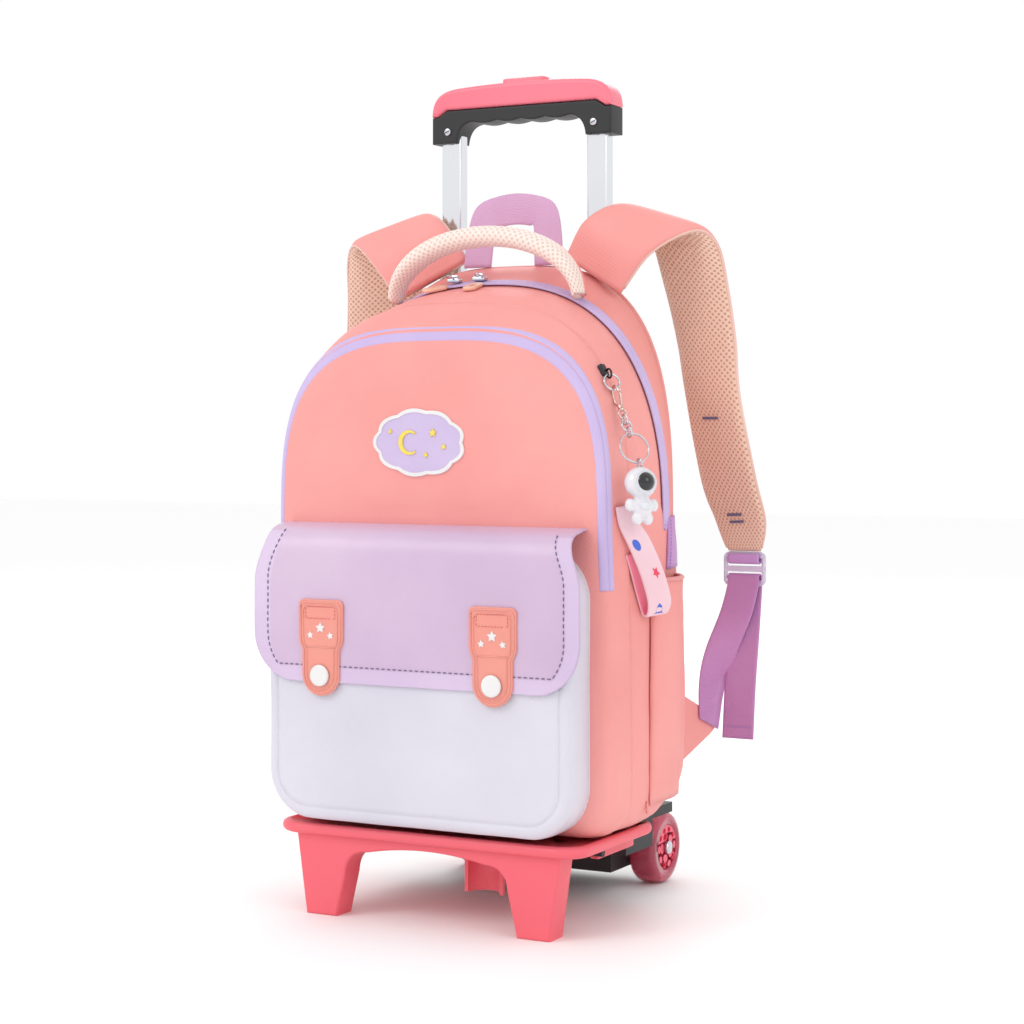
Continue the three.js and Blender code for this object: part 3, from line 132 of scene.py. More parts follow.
def half_outline(y, inset=0.0, foot=None):
    """Right half of the bag's outline at depth y, from the floor's middle, or from height foot, to the
    top."""
    share = np.clip((y - bag_front) / bag_depth, 0, 1)
    base, arch, top, square, low = [
        float(through(bag_sections[:, 0], bag_sections[:, k], share)) for k in range(1, 6)
    ]
    base, arch = base * bag_width / 2 - inset, arch * bag_width / 2 - inset
    top, low = bag_floor + top * bag_height - inset, bag_floor + low * bag_height + inset
    corner = max(bag_corner - inset, 4)
    a = np.linspace(0, np.pi / 2, 57)
    arc = np.stack([arch * np.cos(a).clip(0) ** (2 / square),
                    spring_z + (top - spring_z) * np.sin(a) ** (2 / square)], 1)
    arc[-1, 0] = 0
    side_low = low + corner
    side_from = side_low if foot is None else foot
    side_z = np.linspace(side_from, spring_z, 26)[:-1]
    t = (side_z - side_low) / (spring_z - side_low)
    side = np.stack([base + (arch - base) * t**2, side_z], 1)
    if foot is not None:
        return np.concatenate([side, arc])
    turn = np.linspace(-np.pi / 2, 0, 13)[:-1]
    bend = np.stack([base - corner + corner * np.cos(turn), low + corner + corner * np.sin(turn)], 1)
    under = np.stack([np.linspace(0, base - corner, 17)[:-1], np.full(16, low)], 1)
    return np.concatenate([under, bend, side, arc])


def bag_ring(y, inset=0.0):
    """Whole outline at depth y as points of x, y and z, once round."""
    right = half_outline(y, inset)
    left = right[1:-1][::-1] * [-1, 1]
    both = np.concatenate([right, left])
    return np.stack([both[:, 0], np.full(len(both), y), both[:, 1]], 1)


def side_x(y, z):
    """Half width of the bag at depth y and height z."""
    half = half_outline(y)
    keep = half[:, 1] > bag_floor + bag_corner
    return float(np.interp(z, half[keep, 1], half[keep, 0]))


def top_z(x, y):
    """Height of the bag's top at x and depth y."""
    arc = half_outline(y)[-57:]
    return float(np.interp(abs(x), arc[::-1, 0], arc[::-1, 1]))


def grid_normals(grid, wrap=False):
    """Unit normal at each point of a grid."""
    along = np.gradient(grid, axis=0)
    if wrap:
        across = (np.roll(grid, -1, 1) - np.roll(grid, 1, 1)) / 2
    else:
        across = np.gradient(grid, axis=1)
    normal = np.cross(across, along)
    length = np.linalg.norm(normal, axis=2, keepdims=True)
    return normal / np.maximum(length, 1e-9)


def metres(points):
    """Points in the bag's own millimetres, put into the frame in metres."""
    return (np.asarray(points, float) + [0, frame_shift, 0]) / 1000


def settle(piece):
    """Applies a piece's modifiers."""
    depsgraph = bpy.context.evaluated_depsgraph_get()
    mesh = bpy.data.meshes.new_from_object(piece.evaluated_get(depsgraph))
    piece.modifiers.clear()
    piece.data = mesh
    return piece


def mesh_piece(name, points, faces, material, uvs=None, sharp=None):
    """New piece from points in the bag's millimetres, shaded smooth, with edges over the angle sharp."""
    mesh = bpy.data.meshes.new(name)
    mesh.from_pydata([tuple(p) for p in metres(points)], [], faces)
    for m in material if isinstance(material, (list, tuple)) else [material]:
        mesh.materials.append(m)
    if uvs is not None:
        layer = mesh.uv_layers.new(name="weave")
        layer.data.foreach_set("uv", np.asarray(uvs, np.float32).reshape(-1))
    mesh.shade_smooth()
    if sharp:
        mesh.set_sharp_from_angle(angle=math.radians(sharp))
    mesh.update()
    piece = bpy.data.objects.new(name, mesh)
    bpy.context.scene.collection.objects.link(piece)
    return piece


def cloth_piece(name, grid, material, wrap=False, thick=0.0, ends=None, which=None):
    """Cloth over a grid: wrap joins its columns, ends closes its first or both end rows, thick goes
    inward."""
    grid = np.asarray(grid, float)
    rows, columns = grid.shape[:2]
    step_v = np.linalg.norm(np.diff(grid, axis=0), axis=2).mean(1)
    step_u = np.linalg.norm(np.diff(grid, axis=1), axis=2).mean(0)
    v = np.concatenate([[0], step_v.cumsum()]) / 1000
    u = np.concatenate([[0], step_u.cumsum(), [step_u.sum() + step_u.mean()]]) / 1000
    faces, uvs, slots = [], [], []
    for i in range(rows - 1):
        for j in range(columns if wrap else columns - 1):
            k = (j + 1) % columns
            faces.append((i * columns + j, i * columns + k, (i + 1) * columns + k, (i + 1) * columns + j))
            uvs += [(u[j], v[i]), (u[j + 1], v[i]), (u[j + 1], v[i + 1]), (u[j], v[i + 1])]
            slots.append(which(i, j) if which else 0)
    points = grid.reshape(-1, 3)
    if ends:
        for first, flip in ((0, True), ((rows - 1) * columns, False))[:1 if ends == "first" else 2]:
            points = np.concatenate([points, points[first:first + columns].mean(0, keepdims=True)])
            for j in range(columns):
                pair = (first + j, first + (j + 1) % columns)
                faces.append((*(pair[::-1] if flip else pair), len(points) - 1))
                uvs += [(u[j], v[0]), (u[j + 1], v[0]), (u[j], v[0])]
                slots.append(which(0 if flip else rows - 2, j) if which else 0)
    piece = mesh_piece(name, points, faces, material, uvs)
    if which:
        piece.data.polygons.foreach_set("material_index", slots)
    if thick:
        shell = piece.modifiers.new("thickness", "SOLIDIFY")
        shell.thickness = thick / 1000
        shell.offset = -1
        settle(piece)
    return piece


def slack(grid, size, seed, stretch=(1.0, 1.0, 1.0)):
    """Soft unevenness of hand-sewn cloth, from -1 to 1, over waves of about the size given."""
    rng = np.random.default_rng(seed)
    total = np.zeros(grid.shape[:2])
    for octave in range(7):
        way = rng.normal(size=3) / np.asarray(stretch)
        way *= 2 * np.pi / size * (0.6 + 0.25 * octave) / np.linalg.norm(way)
        total += np.sin(grid @ way + rng.uniform(0, 6.28)) / (1 + 0.3 * octave)
    return total / 3.2


def group_start(name, inputs=(), outputs=()):
    """Empty shader node group with its sockets, and its input and output nodes."""
    group = bpy.data.node_groups.new(name, "ShaderNodeTree")
    for label, value in inputs:
        socket = group.interface.new_socket(label, in_out="INPUT", socket_type="NodeSocketFloat")
        socket.default_value = value
    for label, kind in outputs:
        group.interface.new_socket(label, in_out="OUTPUT", socket_type=kind)
    return group, group.nodes.new("NodeGroupInput"), group.nodes.new("NodeGroupOutput")


def math_node(tree, operation, *values, clamp=False):
    """Math node fed with sockets or numbers; returns its output."""
    node = tree.nodes.new("ShaderNodeMath")
    node.operation = operation
    node.use_clamp = clamp
    for socket, value in zip(node.inputs, values):
        if isinstance(value, bpy.types.NodeSocket):
            tree.links.new(value, socket)
        else:
            socket.default_value = value
    return node.outputs[0]


def noise_node(tree, vector, scale, detail=3.0, roughness=0.5):
    """Noise texture; returns its factor."""
    node = tree.nodes.new("ShaderNodeTexNoise")
    node.inputs["Scale"].default_value = scale
    node.inputs["Detail"].default_value = detail
    node.inputs["Roughness"].default_value = roughness
    tree.links.new(vector, node.inputs["Vector"])
    return node.outputs["Fac"]


def group_in(tree, group, **values):
    """Places a node group in a material with its own values."""
    node = tree.nodes.new("ShaderNodeGroup")
    node.node_tree = group
    for key, value in values.items():
        socket = node.inputs[key.replace("_", " ")]
        if isinstance(value, bpy.types.NodeSocket):
            tree.links.new(value, socket)
        else:
            socket.default_value = value
    return node


# Plain weave of fine yarns, the same on any side of the cloth: Height for the yarns, Shade for
# the uneven dye and light of the satin face.
plain_weave, weave_in, weave_out = group_start(
    "plain_weave",
    [("Yarns", 1800.0), ("Unevenness", 6.0)],
    [("Height", "NodeSocketFloat"), ("Shade", "NodeSocketFloat")],
)
weave_place = plain_weave.nodes.new("ShaderNodeTexCoord")
weave_split = plain_weave.nodes.new("ShaderNodeSeparateXYZ")
plain_weave.links.new(weave_place.outputs["Object"], weave_split.inputs[0])
weave_x, weave_y, weave_z = weave_split.outputs
weft_at = math_node(plain_weave, "ADD", weave_x, weave_y)
warp_at = math_node(plain_weave, "ADD", weave_z, math_node(plain_weave, "MULTIPLY", weave_y, 0.5))
weft = math_node(plain_weave, "SINE",
                 math_node(plain_weave, "MULTIPLY", weft_at, weave_in.outputs["Yarns"]))
warp = math_node(plain_weave, "SINE",
                 math_node(plain_weave, "MULTIPLY", warp_at, weave_in.outputs["Yarns"]))
plain_weave.links.new(math_node(plain_weave, "MULTIPLY", weft, warp), weave_out.inputs["Height"])
shade_noise = plain_weave.nodes.new("ShaderNodeTexNoise")
shade_noise.inputs["Detail"].default_value = 4
plain_weave.links.new(weave_place.outputs["Object"], shade_noise.inputs["Vector"])
plain_weave.links.new(weave_in.outputs["Unevenness"], shade_noise.inputs["Scale"])
plain_weave.links.new(shade_noise.outputs["Fac"], weave_out.inputs["Shade"])


def woven_material(name, light, dark, rough=(0.48, 0.62), yarns=1800.0, relief=0.18, sheen=0.35, coat=0.0):
    """Woven cloth: two near colours mixed by the uneven dye, fine yarn relief, and a soft sheen."""
    material, tree, shader = new_material(
        name, Sheen_Weight=sheen, Sheen_Roughness=0.4, Coat_Weight=coat, Coat_Roughness=0.35,
    )
    shader.inputs["Sheen Tint"].default_value = (*from_hex(light), 1)
    weave = group_in(tree, plain_weave, Yarns=yarns, Unevenness=7.0)
    blend = tree.nodes.new("ShaderNodeMix")
    blend.data_type = "RGBA"
    blend.inputs["A"].default_value = (*from_hex(dark), 1)
    blend.inputs["B"].default_value = (*from_hex(light), 1)
    spread = tree.nodes.new("ShaderNodeMapRange")
    spread.inputs["From Min"].default_value = 0.35
    spread.inputs["From Max"].default_value = 0.65
    tree.links.new(weave.outputs["Shade"], spread.inputs["Value"])
    tree.links.new(spread.outputs[0], blend.inputs["Factor"])
    tree.links.new(blend.outputs["Result"], shader.inputs["Base Color"])
    worn = tree.nodes.new("ShaderNodeMapRange")
    worn.inputs["To Min"].default_value = rough[1]
    worn.inputs["To Max"].default_value = rough[0]
    tree.links.new(weave.outputs["Shade"], worn.inputs["Value"])
    tree.links.new(worn.outputs[0], shader.inputs["Roughness"])
    bump = tree.nodes.new("ShaderNodeBump")
    bump.inputs["Strength"].default_value = relief
    bump.inputs["Distance"].default_value = 0.0003
    tree.links.new(weave.outputs["Height"], bump.inputs["Height"])
    tree.links.new(bump.outputs["Normal"], shader.inputs["Normal"])
    return material


coral_nylon = woven_material("coral_nylon", "F0A09B", "E8948F", sheen=0.12)

divider_y, back_rim = bag_front + 30, bag_front + bag_depth
main_zip_y = bag_front + 80
body_profile = [(divider_y + 0.1, 3.4), (divider_y + 0.4, 1.5), (divider_y + 1.6, 0.4), (divider_y + 4, 0)]
body_profile += [(y, 0) for y in np.linspace(divider_y + 6, main_zip_y - 8, 14)]
body_profile += [(y, 0) for y in np.linspace(main_zip_y - 7, main_zip_y + 7, 10)]
body_profile += [(y, 0) for y in np.linspace(main_zip_y + 9, back_rim - 4, 12)]
body_profile += [(back_rim - 1.8, 0.4), (back_rim - 0.7, 1.4), (back_rim - 0.3, 3.2)]
body = np.stack([bag_ring(y, inset) for y, inset in body_profile])
body_normals = grid_normals(body, wrap=True)
if (body_normals[10, :, 0] * body[10, :, 0]).sum() < 0:
    body_normals = -body_normals
near_zip = np.exp(-((body[..., 1] - main_zip_y) / 9) ** 4) * (body[..., 2] > bag_floor + 229)
ends_hold = np.clip(np.minimum(body[..., 1] - divider_y, back_rim - body[..., 1]) / 14, 0, 1)
puff = 0.9 * slack(body, 150, 3) * ends_hold + 0.5 * slack(body, 46, 5, (1, 1, 2.2)) * ends_hold
puff += 1.1 * ends_hold
low_creases = np.exp(-((body[..., 2] - 110) / 40) ** 2) * ends_hold
puff += 0.5 * slack(body, 30, 8, (1, 1, 0.7)) * low_creases
puff *= 1 - near_zip
puff[body[..., 2] < bag_floor + 8] *= 0.15
body = body + body_normals * puff[..., None]
bag_body = cloth_piece("bag_body", body[:, ::-1], coral_nylon, wrap=True, thick=2.4)
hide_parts("main_shell")
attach(bag_body, "bag")

# Seam down the middle of the top, from the front zip back to the divider seam: its line of lockstitch in
# coral thread, drawn as one flattened cord; its two rolled lips are not modelled.
coral_thread, thread_tree, thread_shader = new_material("coral_thread", from_hex("D86A6C"), Roughness=0.7)


def twist_relief(tree, shader, scale=2400.0, strength=0.3):
    """Fine twisted-yarn relief on a thread."""
    place = tree.nodes.new("ShaderNodeTexCoord")
    bump = tree.nodes.new("ShaderNodeBump")
    bump.inputs["Strength"].default_value = strength
    bump.inputs["Distance"].default_value = 0.0002
    tree.links.new(noise_node(tree, place.outputs["Object"], scale), bump.inputs["Height"])
    tree.links.new(bump.outputs["Normal"], shader.inputs["Normal"])


twist_relief(thread_tree, thread_shader)


def tube_piece(name, path, radius, material, closed=False, sides=8, body="bag", flat=1.0,
               normals=None):
    """Round or flattened cord sewn along a path of points, its open ends closed flat."""
    path = np.asarray(path, float)
    count = len(path)
    if closed:
        ahead, behind = np.roll(path, -1, 0), np.roll(path, 1, 0)
    else:
        ahead = np.concatenate([path[1:], path[-1:]])
        behind = np.concatenate([path[:1], path[:-1]])
    along = ahead - behind
    along /= np.maximum(np.linalg.norm(along, axis=1, keepdims=True), 1e-9)
    if normals is None:
        normal = np.cross(along, [0.31, 0.17, 0.93])
    else:
        normal = np.asarray(normals, float)
        normal = normal - along * (normal * along).sum(1, keepdims=True)
    normal /= np.maximum(np.linalg.norm(normal, axis=1, keepdims=True), 1e-9)
    side = np.cross(along, normal)
    a = np.arange(sides) / sides * 2 * np.pi
    rings = (path[:, None] + radius * flat * np.sin(a)[None, :, None] * normal[:, None]
             + radius * np.cos(a)[None, :, None] * side[:, None])
    if closed:
        rings = np.concatenate([rings, rings[:1]])
        piece = cloth_piece(name, rings, material, wrap=True)
        weld = piece.modifiers.new("close", "WELD")
        weld.merge_threshold = 0.00002
        settle(piece)
    else:
        piece = cloth_piece(name, rings, material, wrap=True, ends="both")
    if body:
        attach(piece, body)
    return piece


def stitch_row(name, path, normals, material, pitch=3.4, length=2.5, radius=0.32,
               body="bag", across=False):
    """Row of small bowed threads lying on the cloth, along a path or across it."""
    path, normals = np.asarray(path, float), np.asarray(normals, float)
    steps = np.linalg.norm(np.diff(path, axis=0), axis=1)
    reach = np.concatenate([[0], steps.cumsum()])
    points, faces = [], []
    ring = np.arange(6) / 6 * 2 * np.pi
    for k in range(int(reach[-1] // pitch)):
        middle = (k + 0.5) * pitch
        at, ahead, up = (np.array([np.interp(s, reach, values[:, c]) for c in range(3)])
                         for s, values in ((middle, path), (middle + 0.5, path), (middle, normals)))
        up /= np.linalg.norm(up)
        way = ahead - at
        way /= max(np.linalg.norm(way), 1e-6)
        if across:
            way = np.cross(up, way)
        beside = np.cross(way, up)
        first = len(points)
        for share, grow, lift in ((-0.5, 0.35, -0.3), (-0.3, 0.9, 0.5), (0, 1, 0.8), (0.3, 0.9, 0.5),
                                  (0.5, 0.35, -0.3)):
            centre = at + way * share * length + up * lift * radius
            points += [centre + radius * grow * (np.cos(t) * beside + np.sin(t) * up) for t in ring]
        for i in range(4):
            for j in range(6):
                a, b = first + i * 6 + j, first + i * 6 + (j + 1) % 6
                faces.append((a, b, b + 6, a + 6))
        faces += [tuple(first + j for j in range(5, -1, -1)), tuple(first + 24 + j for j in range(6))]
    piece = mesh_piece(name, np.array(points), faces, material)
    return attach(piece, body)


seam_y = np.linspace(bag_front + 12, divider_y - 0.5, 30)
top_seam = np.array([(-3.0, y, top_z(-3, y) + 0.35) for y in seam_y])
tube_piece("top_seam", top_seam, 0.8, coral_thread, flat=0.6)

# Front compartment: the same nylon over foam, a nearly flat door whose upper half swells, its edge
# rolled and sewn to a gusset that ends at the divider seam.
door_face = bag_front - 1.5


def door_y(x, z):
    """Depth of the door's face at x and z, with its swell above the flap."""
    high = bag_floor + 0.856 * bag_height - 14
    rise = np.clip((z - spring_z - 14) / (high - spring_z - 14), 0, 1)
    return door_face - 5.5 * np.sin(np.pi * rise) * np.clip(1 - (x / (bag_width * 0.43)) ** 2, 0, None)


gusset_profile = [(divider_y - 0.5, 3.0), (divider_y - 0.7, 1.2), (divider_y - 2, 0.3), (divider_y - 5, 0)]
gusset_profile += [(y, 0) for y in np.linspace(divider_y - 8, bag_front + 8, 8)]
edge_profile = [(bag_front + 4.8, 0.8), (bag_front + 3, 1.7), (bag_front + 1.44, 3), (bag_front + 0.3, 5.2)]
gusset = [bag_ring(y, inset) for y, inset in gusset_profile + edge_profile]
door_insets = np.concatenate([[8, 10.5, 13], np.arange(16, 132, 3.4)])
for inset in door_insets:
    ring = bag_ring(bag_front, inset)
    ring[:, 1] = np.where(inset < 13, bag_front - 0.6 - (inset - 8) * 0.18, door_y(ring[:, 0], ring[:, 2]))
    gusset.append(ring)
front = np.stack(gusset)
front_normals = grid_normals(front, wrap=True)
if (front_normals[4, :, 0] * front[4, :, 0]).sum() < 0:
    front_normals = -front_normals
puff = 0.8 * slack(front, 120, 11) + 0.35 * slack(front, 40, 12, (1, 1, 1.8))
puff *= np.clip((divider_y - front[..., 1]) / 8, 0, 1)
edge_row = len(gusset_profile)
row_hold = np.ones(len(front))
row_hold[edge_row - 1:edge_row + 6] = 0
row_hold[edge_row - 3:edge_row - 1] = 0.4
row_hold[edge_row + 6:edge_row + 9] = 0.5
puff *= row_hold[:, None]
puff[-1] = puff[-1].mean()
front = front + front_normals * puff[..., None]
front_compartment = cloth_piece("front_compartment_cloth", front[::-1], coral_nylon, wrap=True,
                                ends="first", thick=2.2)
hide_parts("front_compartment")
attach(front_compartment, "bag")

# Zip tapes: lilac woven tape in two bands with a fine dark coil between them, one arch round the
# front edge and one over the middle of the bag, sewn down along both edges.
lilac_tape = woven_material("lilac_tape", "CDBAE2", "BFAAD8", rough=(0.45, 0.6), yarns=5200.0, relief=0.3)
coil_nylon, coil_tree, coil_shader = new_material("zip_coil", from_hex("6C5A86"), Roughness=0.4)
twist_relief(coil_tree, coil_shader, 900.0, 0.5)
lilac_thread, thread_tree, thread_shader = new_material("lilac_thread", from_hex("A88AC6"), Roughness=0.7)
twist_relief(thread_tree, thread_shader)


def arch_line(y, inset, end_z):
    """Open line over the bag at depth y, from end_z on the right to end_z on the left."""
    half = half_outline(y, inset, foot=end_z)
    left = half[:-1][::-1] * [-1, 1]
    both = np.concatenate([half, left])
    return np.stack([both[:, 0], np.full(len(both), y), both[:, 1]], 1)


def tape_arch(name, profile, end_z, coil_share, node):
    """Zip tape over an arch: profile rows are depth, inset, lean in degrees; coil_share places the coil."""
    profile = np.array(profile, float)
    share = np.linspace(0, 1, len(profile))
    fine = np.concatenate([np.linspace(0, coil_share - 0.1, 7),
                           np.linspace(coil_share - 0.06, coil_share + 0.06, 5),
                           np.linspace(coil_share + 0.1, 1, 7)])
    rows = []
    for s in fine:
        y, inset, lean = (float(through(share, profile[:, k], s)) for k in range(3))
        dip = 1.5 * np.exp(-((s - coil_share) / 0.045) ** 2) + 0.9 * (abs(s - 0.5) > 0.47)
        off = 0.5 + 1.5 - dip
        way = math.radians(lean)
        rows.append(arch_line(y - off * math.sin(way), inset - off * math.cos(way), end_z))
    tape = np.stack(rows)
    piece = cloth_piece(name, tape, lilac_tape, thick=0.9)
    if (piece.data.polygons[40].normal @ (piece.data.polygons[40].center - Vector((0, 0, 0.25)))) < 0:
        piece.data.flip_normals()
    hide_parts(node)
    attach(piece, "bag")
    middle = tape[9]
    normal = grid_normals(tape)[9]
    if (normal[:, 0] * middle[:, 0]).sum() < 0:
        normal = -normal
    stitch_row(name + "_coil", middle + 0.25 * normal, normal, coil_nylon, pitch=1.5, length=2.6,
               radius=0.5, across=True)
    for row, label in ((2, "inner"), (16, "outer")):
        stitch_row(f"{name}_{label}_stitches", tape[row] + 0.1 * normal, normal, lilac_thread)


tape_arch("front_zip_tape", [
    (bag_front + 0.2, 5.3, 52), (bag_front + 1.7, 2.6, 40), (bag_front + 4.3, 0.95, 23),
    (bag_front + 8.0, 0.4, 12),
], bag_floor + 177, 0.62, "zip_front")
tape_arch("main_zip_tape", [(main_zip_y + s, 0, 0) for s in (-5.5, -2.7, 0, 2.7, 5.5)],
          bag_floor + 229, 0.5, "zip_main")

# Divider seam: where the front compartment's gusset meets the main body, the nylon is rolled over
# a cord and sewn.
seam_ring = bag_ring(divider_y - 0.2, 1.0)
tube_piece("divider_seam", seam_ring, 1.15, coral_nylon, closed=True)

# Box pocket: smooth pale nylon on a stiff board, a seam with dark thread a little inside its front
# edge and a rolled pale piping where it meets the door.
pale_nylon = woven_material("pale_nylon", "D6D4DE", "CCCAD6", rough=(0.4, 0.52), relief=0.12, sheen=0.2)
dark_thread, thread_tree, thread_shader = new_material("dark_thread", from_hex("6E6486"), Roughness=0.7)
twist_relief(thread_tree, thread_shader)
pocket_width, pocket_low, pocket_high, pocket_depth = 248.0, 74.0, 272.0, 28.5
pocket_rim = door_face - 0.4
pocket_face = pocket_rim - pocket_depth


def rounded_box(wide, tall, corner, steps=13, edge_steps=14):
    """Rounded rectangle about its middle as points, once round, with points along its straight edges
    too."""
    points = []
    centres = ((1, -1, -90), (1, 1, 0), (-1, 1, 90), (-1, -1, 180))
    for k, (sx, sy, start) in enumerate(centres):
        a = np.radians(start + np.linspace(0, 90, steps))
        arc = np.stack([sx * (wide / 2 - corner) + corner * np.cos(a),
                        sy * (tall / 2 - corner) + corner * np.sin(a)], 1)
        points.append(arc)
        nx, ny, turn = centres[(k + 1) % 4]
        b = math.radians(turn)
        after = np.array([nx * (wide / 2 - corner) + corner * math.cos(b),
                          ny * (tall / 2 - corner) + corner * math.sin(b)])
        t = np.linspace(0, 1, edge_steps)[1:-1, None]
        points.append(arc[-1] + (after - arc[-1]) * t)
    return np.concatenate(points)


def pocket_ring(y, inset):
    """Outline of the box pocket at depth y."""
    outline = rounded_box(pocket_width - 2 * inset, pocket_high - pocket_low - 2 * inset,
                          max(34 - inset, 5))
    return np.stack([outline[:, 0], np.full(len(outline), y),
                     outline[:, 1] + (pocket_low + pocket_high) / 2], 1)


pocket_profile = [(pocket_rim, 0.0), (pocket_rim - 1, 0.9), (pocket_rim - 2.6, 0.2)]
pocket_profile += [(pocket_rim - d, 0.2 - 0.9 * math.sin(d / 23.5 * math.pi))
                   for d in np.linspace(4, 22, 9)]
pocket_profile += [(pocket_face + 5, 0.0), (pocket_face + 3, 0.5), (pocket_face + 1.3, 1.8),
                   (pocket_face + 0.4, 3.4),
                   (pocket_face, 5), (pocket_face, 6.6), (pocket_face + 0.9, 8.0), (pocket_face + 0.1, 9.4)]
pocket_profile += [(pocket_face - 1.5 * min((i - 9) / 36, 1), i) for i in np.arange(12, 88, 4)]
pocket = np.stack([pocket_ring(y, inset) for y, inset in pocket_profile])
pocket_normals = grid_normals(pocket, wrap=True)
if (pocket_normals[6, :, 0] * pocket[6, :, 0]).sum() < 0:
    pocket_normals = -pocket_normals
puff = 0.35 * slack(pocket, 70, 21) + 0.2 * slack(pocket, 26, 22)
puff[:3] = 0
pocket = pocket + pocket_normals * puff[..., None]
box_pocket = cloth_piece("box_pocket", pocket[::-1], pale_nylon, wrap=True, ends="first", thick=1.6)
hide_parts("front_pocket")
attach(box_pocket, "bag")
seam_line = pocket_ring(pocket_face + 0.55, 8.0)
stitch_row("pocket_seam_stitches", seam_line, np.tile([0, -1, 0], (len(seam_line), 1)), dark_thread,
           pitch=3, length=2.4, radius=0.3)
tube_piece("pocket_piping", pocket_ring(pocket_rim - 1.3, -0.7), 1.5, pale_nylon, closed=True)

# Flap: lilac satin sheet from the door over the pocket's top, with a flat bound edge held by a row
# of dark stitches and a pale line under its fold.
lilac_satin = woven_material("lilac_satin", "CEB6CF", "C3A9C6", rough=(0.3, 0.44), relief=0.1, sheen=0.3,
                             coat=0.15)
lilac_binding = woven_material("lilac_binding", "D8C4DF", "CDB7D6", rough=(0.4, 0.55), yarns=6000.0,
                               relief=0.3)
flap_rows = np.array([
    # out, down
    (0.00, 0.000), (0.34, 0.004), (0.72, 0.035), (0.93, 0.110), (1.00, 0.230), (1.00, 0.460),
    (1.00, 0.680), (1.00, 0.800), (1.00, 0.900), (1.00, 0.965), (1.00, 1.000),
])
flap_top, flap_drop, flap_corner = bag_floor + 217, 111.0, 36.0
flap_face = pocket_face - 1.6 - 0.4
flap_run = pocket_rim - flap_face


def flap_grid(off, trim=0.0, count=61, steps=52):
    """Flap's surface, off beyond its underside and trimmed inward all round."""
    at = np.linspace(0, 10, steps)
    out = through(np.arange(11), flap_rows[:, 0], at).clip(0, 1)
    down = through(np.arange(11), flap_rows[:, 1], at)
    lean = np.arctan2(np.gradient(down) * flap_drop, np.gradient(out) * flap_run)
    z = flap_top - down * (flap_drop - trim)
    y = pocket_rim - out * flap_run
    up = np.clip(flap_corner - (z - bag_floor - 106), 0, None)
    turned = flap_corner - np.sqrt(np.clip(flap_corner**2 - up**2, 0, None))
    spread = np.clip(down / 0.35, 0, 1)
    spread = spread * spread * (3 - 2 * spread)
    half = (248 + 20 * spread) / 2 - turned - trim
    share = np.sin(np.linspace(-0.5, 0.5, count) * np.pi * 0.9) / math.sin(math.pi * 0.45)
    grid = np.zeros((steps, count, 3))
    grid[..., 0] = half[:, None] * share[None]
    grid[..., 1] = (y - off * np.sin(lean))[:, None]
    grid[..., 2] = (z + off * np.cos(lean))[:, None]
    return grid, np.stack([np.zeros(steps), -np.sin(lean), np.cos(lean)], 1)


flap, flap_out = flap_grid(2.0)
ripple = 0.30 * slack(flap, 60, 31, (2.4, 1, 0.5)) + 0.22 * slack(flap, 24, 32, (3.2, 1, 0.4))
fold_hold = np.clip(np.arange(52) / 12, 0, 1)[:, None]
flap = flap + (ripple * fold_hold)[..., None] * flap_out[:, None]
bound = (np.abs(flap[..., 0]) > np.abs(flap[:, -1:, 0]) - 12) | (flap[..., 2] < bag_floor + 106 + 12)
bound &= flap[..., 1] < flap_face + 6
flap_piece = cloth_piece("flap_sheet", flap, [lilac_satin, lilac_binding], thick=1.6,
                         which=lambda i, j: int(bound[i, j]))
if flap_piece.data.polygons[1500].normal.y > 0:
    flap_piece.data.flip_normals()
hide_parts("flap")
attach(flap_piece, "bag")
inner, inner_out = flap_grid(2.5, trim=12)
hem = np.concatenate([inner[10:-1, -1], inner[-1, ::-1], inner[10:-1, 0][::-1]])
hem_out = np.concatenate([inner_out[10:-1], np.tile(inner_out[-1], (61, 1)), inner_out[10:-1][::-1]])
for k, (spot, away) in enumerate(zip(hem, hem_out)):
    start = (spot + 8 * away + [0, frame_shift, 0]) / 1000
    found, landed, _, _ = flap_piece.ray_cast(start.tolist(), (-away).tolist())
    if found:
        hem[k] = np.array(landed) * 1000 - [0, frame_shift, 0] + 0.2 * away
stitch_row("flap_stitches", hem, hem_out, dark_thread, pitch=4.6, length=3.2, radius=0.42)
outer, _ = flap_grid(2.1, trim=1.2)
rim = np.concatenate([outer[4:-1, -1], outer[-1, ::-1], outer[4:-1, 0][::-1]])
tube_piece("flap_edge_cord", rim, 1.1, lilac_binding)

# Closing tabs: soft moulded rubber over webbing, a raised double outline, a stitched block at the
# top, three small stars, and a glossy white snap near the round end.
peach_rubber, rubber_tree, rubber_shader = new_material(
    "peach_rubber", Roughness=0.42, Subsurface_Weight=0.12, Subsurface_Scale=0.003, Sheen_Weight=0.15,
)


def uneven_colour(tree, shader, light, dark, scale=30.0, rough=None):
    """Base colour mixed of two near colours by soft noise, and the roughness with it."""
    place = tree.nodes.new("ShaderNodeTexCoord")
    factor = noise_node(tree, place.outputs["Object"], scale)
    blend = tree.nodes.new("ShaderNodeMix")
    blend.data_type = "RGBA"
    blend.inputs["A"].default_value = (*from_hex(dark), 1)
    blend.inputs["B"].default_value = (*from_hex(light), 1)
    tree.links.new(factor, blend.inputs["Factor"])
    tree.links.new(blend.outputs["Result"], shader.inputs["Base Color"])
    if rough:
        worn = tree.nodes.new("ShaderNodeMapRange")
        worn.inputs["To Min"].default_value, worn.inputs["To Max"].default_value = rough
        tree.links.new(factor, worn.inputs["Value"])
        tree.links.new(worn.outputs[0], shader.inputs["Roughness"])
    return place, factor


